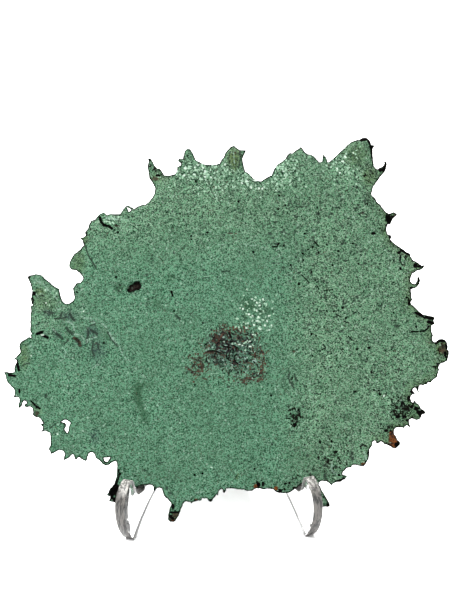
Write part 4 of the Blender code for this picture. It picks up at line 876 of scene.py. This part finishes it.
# Oxide and holes are dull; the rest has a faint shine. The grains stand up a little.
GRAIN_LIFT = 0.35
WEAVE_LIFT = 0.4
HOLE_SINK = 0.25
dull = maths("MAXIMUM", maths("MAXIMUM", holes, flaked), maths("MAXIMUM", rim_oxide_and_shade, pores))
tree.links.new(ranged(dull, 0.0, 1.0, 0.1, 0.01), skin.inputs["Specular IOR Level"])
tree.links.new(ranged(grains, 0.3, 0.7, 0.62, 0.42), skin.inputs["Roughness"])
bump = add("ShaderNodeBump", Strength=1.0, Distance=0.001)
lift = maths("ADD", maths("MULTIPLY", grains, GRAIN_LIFT), maths("MULTIPLY", weave, WEAVE_LIFT), held=False)
sunk = maths("MULTIPLY", maths("MAXIMUM", holes, pores), HOLE_SINK)
tree.links.new(maths("SUBTRACT", lift, sunk, held=False), bump.inputs["Height"])
tree.links.new(bump.outputs["Normal"], skin.inputs["Normal"])
mesh.materials.append(patina)
bpy.ops.object.shade_smooth_by_angle(angle=math.radians(50.0))
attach(copper, "root")
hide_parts("copper_sheet")

# The easel is one blank of clear acrylic, cut out flat and folded hot to a V.
# Its faces are polished as the sheet came; the cut edges are sanded and look frosted.
# It stands on its two toes and the bottom of the fold, and nothing fixes the copper to it.
easel = bpy.data.objects.new("folded_easel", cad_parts["acrylic_easel"].data.copy())
bpy.context.scene.collection.objects.link(easel)
easel.data.materials.clear()
edit_only(easel)
bpy.ops.mesh.select_all(action="SELECT")
bpy.ops.mesh.remove_doubles(threshold=WELD)
bpy.ops.mesh.customdata_custom_splitnormals_clear()
bpy.ops.mesh.dissolve_limited(angle_limit=math.radians(1.0))
bpy.ops.object.mode_set(mode="OBJECT")
EASED_EDGE = 0.0003
EDGE_ANGLE = math.radians(35.0)
rounding = easel.modifiers.new("eased_edges", "BEVEL")
rounding.width = EASED_EDGE
rounding.segments = 2
rounding.limit_method = "ANGLE"
rounding.angle_limit = EDGE_ANGLE
bpy.ops.object.modifier_apply(modifier=rounding.name)
bpy.ops.object.shade_smooth_by_angle(angle=EDGE_ANGLE)

SPLAY = math.radians(24.0)
FOLD_AXIS = Vector((-0.00415, 0.03276, 0.0))
BEND_START = 0.0028
FACE_FACING = 0.75


def across_acrylic(point):
    """The direction through the thickness of the folded sheet at a point."""
    if point.y > FOLD_AXIS.y + BEND_START:
        return Vector((point.x - FOLD_AXIS.x, point.y - FOLD_AXIS.y, 0.0)).normalized()
    side = 1.0 if point.x > FOLD_AXIS.x else -1.0
    return Vector((side * math.cos(SPLAY), math.sin(SPLAY), 0.0))


for polygon in easel.data.polygons:
    through = abs(polygon.normal.dot(across_acrylic(polygon.center)))
    polygon.material_index = 0 if through > FACE_FACING else 1

ACRYLIC_IOR = 1.49
clear = bpy.data.materials.new("clear_acrylic")
clear.use_nodes = True
shader = clear.node_tree.nodes["Principled BSDF"]
shader.inputs["Base Color"].default_value = (0.97, 0.975, 0.97, 1.0)
shader.inputs["Roughness"].default_value = 0.03
shader.inputs["IOR"].default_value = ACRYLIC_IOR
shader.inputs["Transmission Weight"].default_value = 1.0

frosted = bpy.data.materials.new("sanded_acrylic_painted_light_and_shade")
frosted.use_nodes = True
tree = frosted.node_tree
shader = tree.nodes["Principled BSDF"]
shader.inputs["IOR"].default_value = ACRYLIC_IOR
shader.inputs["Transmission Weight"].default_value = 0.2
place = add("ShaderNodeTexCoord").outputs["Object"]
SAW_STRETCH = (1.0, 1.0, 0.12)
SAW_SCALE = 900.0
saw_marks = add("ShaderNodeMapping")
saw_marks.inputs["Scale"].default_value = SAW_STRETCH
tree.links.new(place, saw_marks.inputs["Vector"])
place = saw_marks.outputs[0]
scratches_seen = speckle(SAW_SCALE, 4.0, 0.2, 0.7)
streaks = speckle(SAW_SCALE, 2.0, 0.9, 0.8)

# Heights in metres: the cut edge is dark and streaked near the toes, where painted shade stands for its lower
# faces turning away, and pale from the ledges up, where painted light stands for light from above.
SHADED_BELOW = 0.020
LIT_ABOVE = 0.028
parts = add("ShaderNodeSeparateXYZ")
tree.links.new(add("ShaderNodeTexCoord").outputs["Object"], parts.inputs[0])
lit_from_above = ranged(parts.outputs["Z"], SHADED_BELOW, LIT_ABOVE)
painted_shade_grey = blended(ranged(streaks, 0.42, 0.58), srgb(10, 10, 10), srgb(82, 79, 75))
painted_light_grey = blended(ranged(scratches_seen, 0.44, 0.58), srgb(50, 48, 46), srgb(188, 186, 180))
# The sanded edge's grey is painted shade below and painted light above, over real saw streaks.
tree.links.new(blended(lit_from_above, painted_shade_grey, painted_light_grey), shader.inputs["Base Color"])
tree.links.new(ranged(scratches_seen, 0.35, 0.65, 0.3, 0.55), shader.inputs["Roughness"])
bump = add("ShaderNodeBump", Strength=0.5, Distance=0.0003)
tree.links.new(scratches_seen, bump.inputs["Height"])
tree.links.new(bump.outputs["Normal"], shader.inputs["Normal"])
easel.data.materials.append(clear)
easel.data.materials.append(frosted)
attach(easel, "root")
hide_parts("acrylic_easel")

# The table and the wall behind it are one sheet of white paper, swept up in a wide curve.
# It isn't part of the object.
PAPER_HALF_WIDTH = 2.2
PAPER_NEAR_END = 2.0
PAPER_HEIGHT = 2.2
PAPER_DROP = 0.0002
SWEEP_RADIUS = 0.5
SWEEP_START = 1.0
bpy.ops.object.select_all(action="DESELECT")
bpy.ops.mesh.primitive_plane_add(size=1.0, location=(0.0, 0.0, 0.0))
paper = bpy.context.active_object
paper.name = "white_paper"
bpy.ops.object.mode_set(mode="EDIT")
bpy.ops.mesh.select_all(action="SELECT")
bpy.ops.transform.resize(value=(2 * PAPER_HALF_WIDTH, PAPER_NEAR_END + SWEEP_START, 1.0))
bpy.ops.transform.translate(value=(0.0, (SWEEP_START - PAPER_NEAR_END) / 2, -PAPER_DROP))
bpy.ops.mesh.select_all(action="DESELECT")
bpy.ops.mesh.select_mode(type="EDGE")
shape = bmesh.from_edit_mesh(paper.data)
for edge in shape.edges:
    edge.select_set(all(vertex.co.y > SWEEP_START - 0.01 for vertex in edge.verts))
bpy.ops.mesh.extrude_region_move(TRANSFORM_OT_translate={"value": (0.0, SWEEP_RADIUS, 0.0)})
bpy.ops.mesh.extrude_region_move(TRANSFORM_OT_translate={"value": (0.0, 0.0, PAPER_HEIGHT)})
bpy.ops.object.mode_set(mode="OBJECT")
sweep = paper.modifiers.new("sweep", "BEVEL")
sweep.width = SWEEP_RADIUS
sweep.segments = 16
sweep.limit_method = "ANGLE"
bpy.ops.object.modifier_apply(modifier=sweep.name)
bpy.ops.object.shade_smooth()
white = bpy.data.materials.new("white_paper")
white.use_nodes = True
shader = white.node_tree.nodes["Principled BSDF"]
shader.inputs["Base Color"].default_value = (0.93, 0.93, 0.93, 1.0)
shader.inputs["Roughness"].default_value = 0.8
shader.inputs["Specular IOR Level"].default_value = 0.1
paper.data.materials.append(white)

# Three soft boxes and a pale room: a wide box over the left shoulder, a weaker one on the right,
# and one over the paper behind the copper.
OBJECT_MIDDLE = (0.0, 0.0, 0.08)
PAPER_BEHIND = (0.0, 0.45, 0.0)
ROOM_LIGHT = 0.78


def soft_box(name, spot_at, aim_at, size, watts):
    """A square area light aimed at a point."""
    light = bpy.data.lights.new(name, "AREA")
    light.shape = "SQUARE"
    light.size = size
    light.energy = watts
    lamp = bpy.data.objects.new(name, light)
    bpy.context.scene.collection.objects.link(lamp)
    lamp.location = spot_at
    lamp.rotation_euler = (Vector(aim_at) - Vector(spot_at)).to_track_quat("-Z", "Y").to_euler()


soft_box("key_light", (-0.55, -0.45, 0.95), OBJECT_MIDDLE, 0.35, 25.0)
soft_box("fill_light", (0.9, -0.8, 0.5), OBJECT_MIDDLE, 0.8, 6.0)
soft_box("paper_light", (0.0, 0.75, 1.5), PAPER_BEHIND, 1.2, 60.0)
room = bpy.data.worlds.new("pale_room")
room.use_nodes = True
room.node_tree.nodes["Background"].inputs["Color"].default_value = (1.0, 1.0, 1.0, 1.0)
room.node_tree.nodes["Background"].inputs["Strength"].default_value = ROOM_LIGHT
bpy.context.scene.world = room
bpy.context.scene.view_settings.view_transform = "Standard"

# The camera looks squarely at the leaning face, a little turned about its own axis.
CAMERA_DISTANCE = 0.55
FOCAL_PIXELS = 1320.0
PICTURE_HEIGHT = 613.0
SENSOR = 36.0
camera_data = bpy.data.cameras.new("camera")
camera_data.sensor_width = SENSOR
camera_data.lens = FOCAL_PIXELS * SENSOR / PICTURE_HEIGHT
camera = bpy.data.objects.new("camera", camera_data)
bpy.context.scene.collection.objects.link(camera)
right = math.cos(ROLL) * Vector(TO_RIGHT) - math.sin(ROLL) * Vector(UP_SLOPE)
up = math.sin(ROLL) * Vector(TO_RIGHT) + math.cos(ROLL) * Vector(UP_SLOPE)
stand = Vector(SHEET_MIDDLE) * MM + CAMERA_DISTANCE * Vector(OUTWARD)
turned = Matrix((right, up, Vector(OUTWARD))).transposed().to_4x4()
camera.matrix_world = Matrix.Translation(stand) @ turned
bpy.context.scene.camera = camera
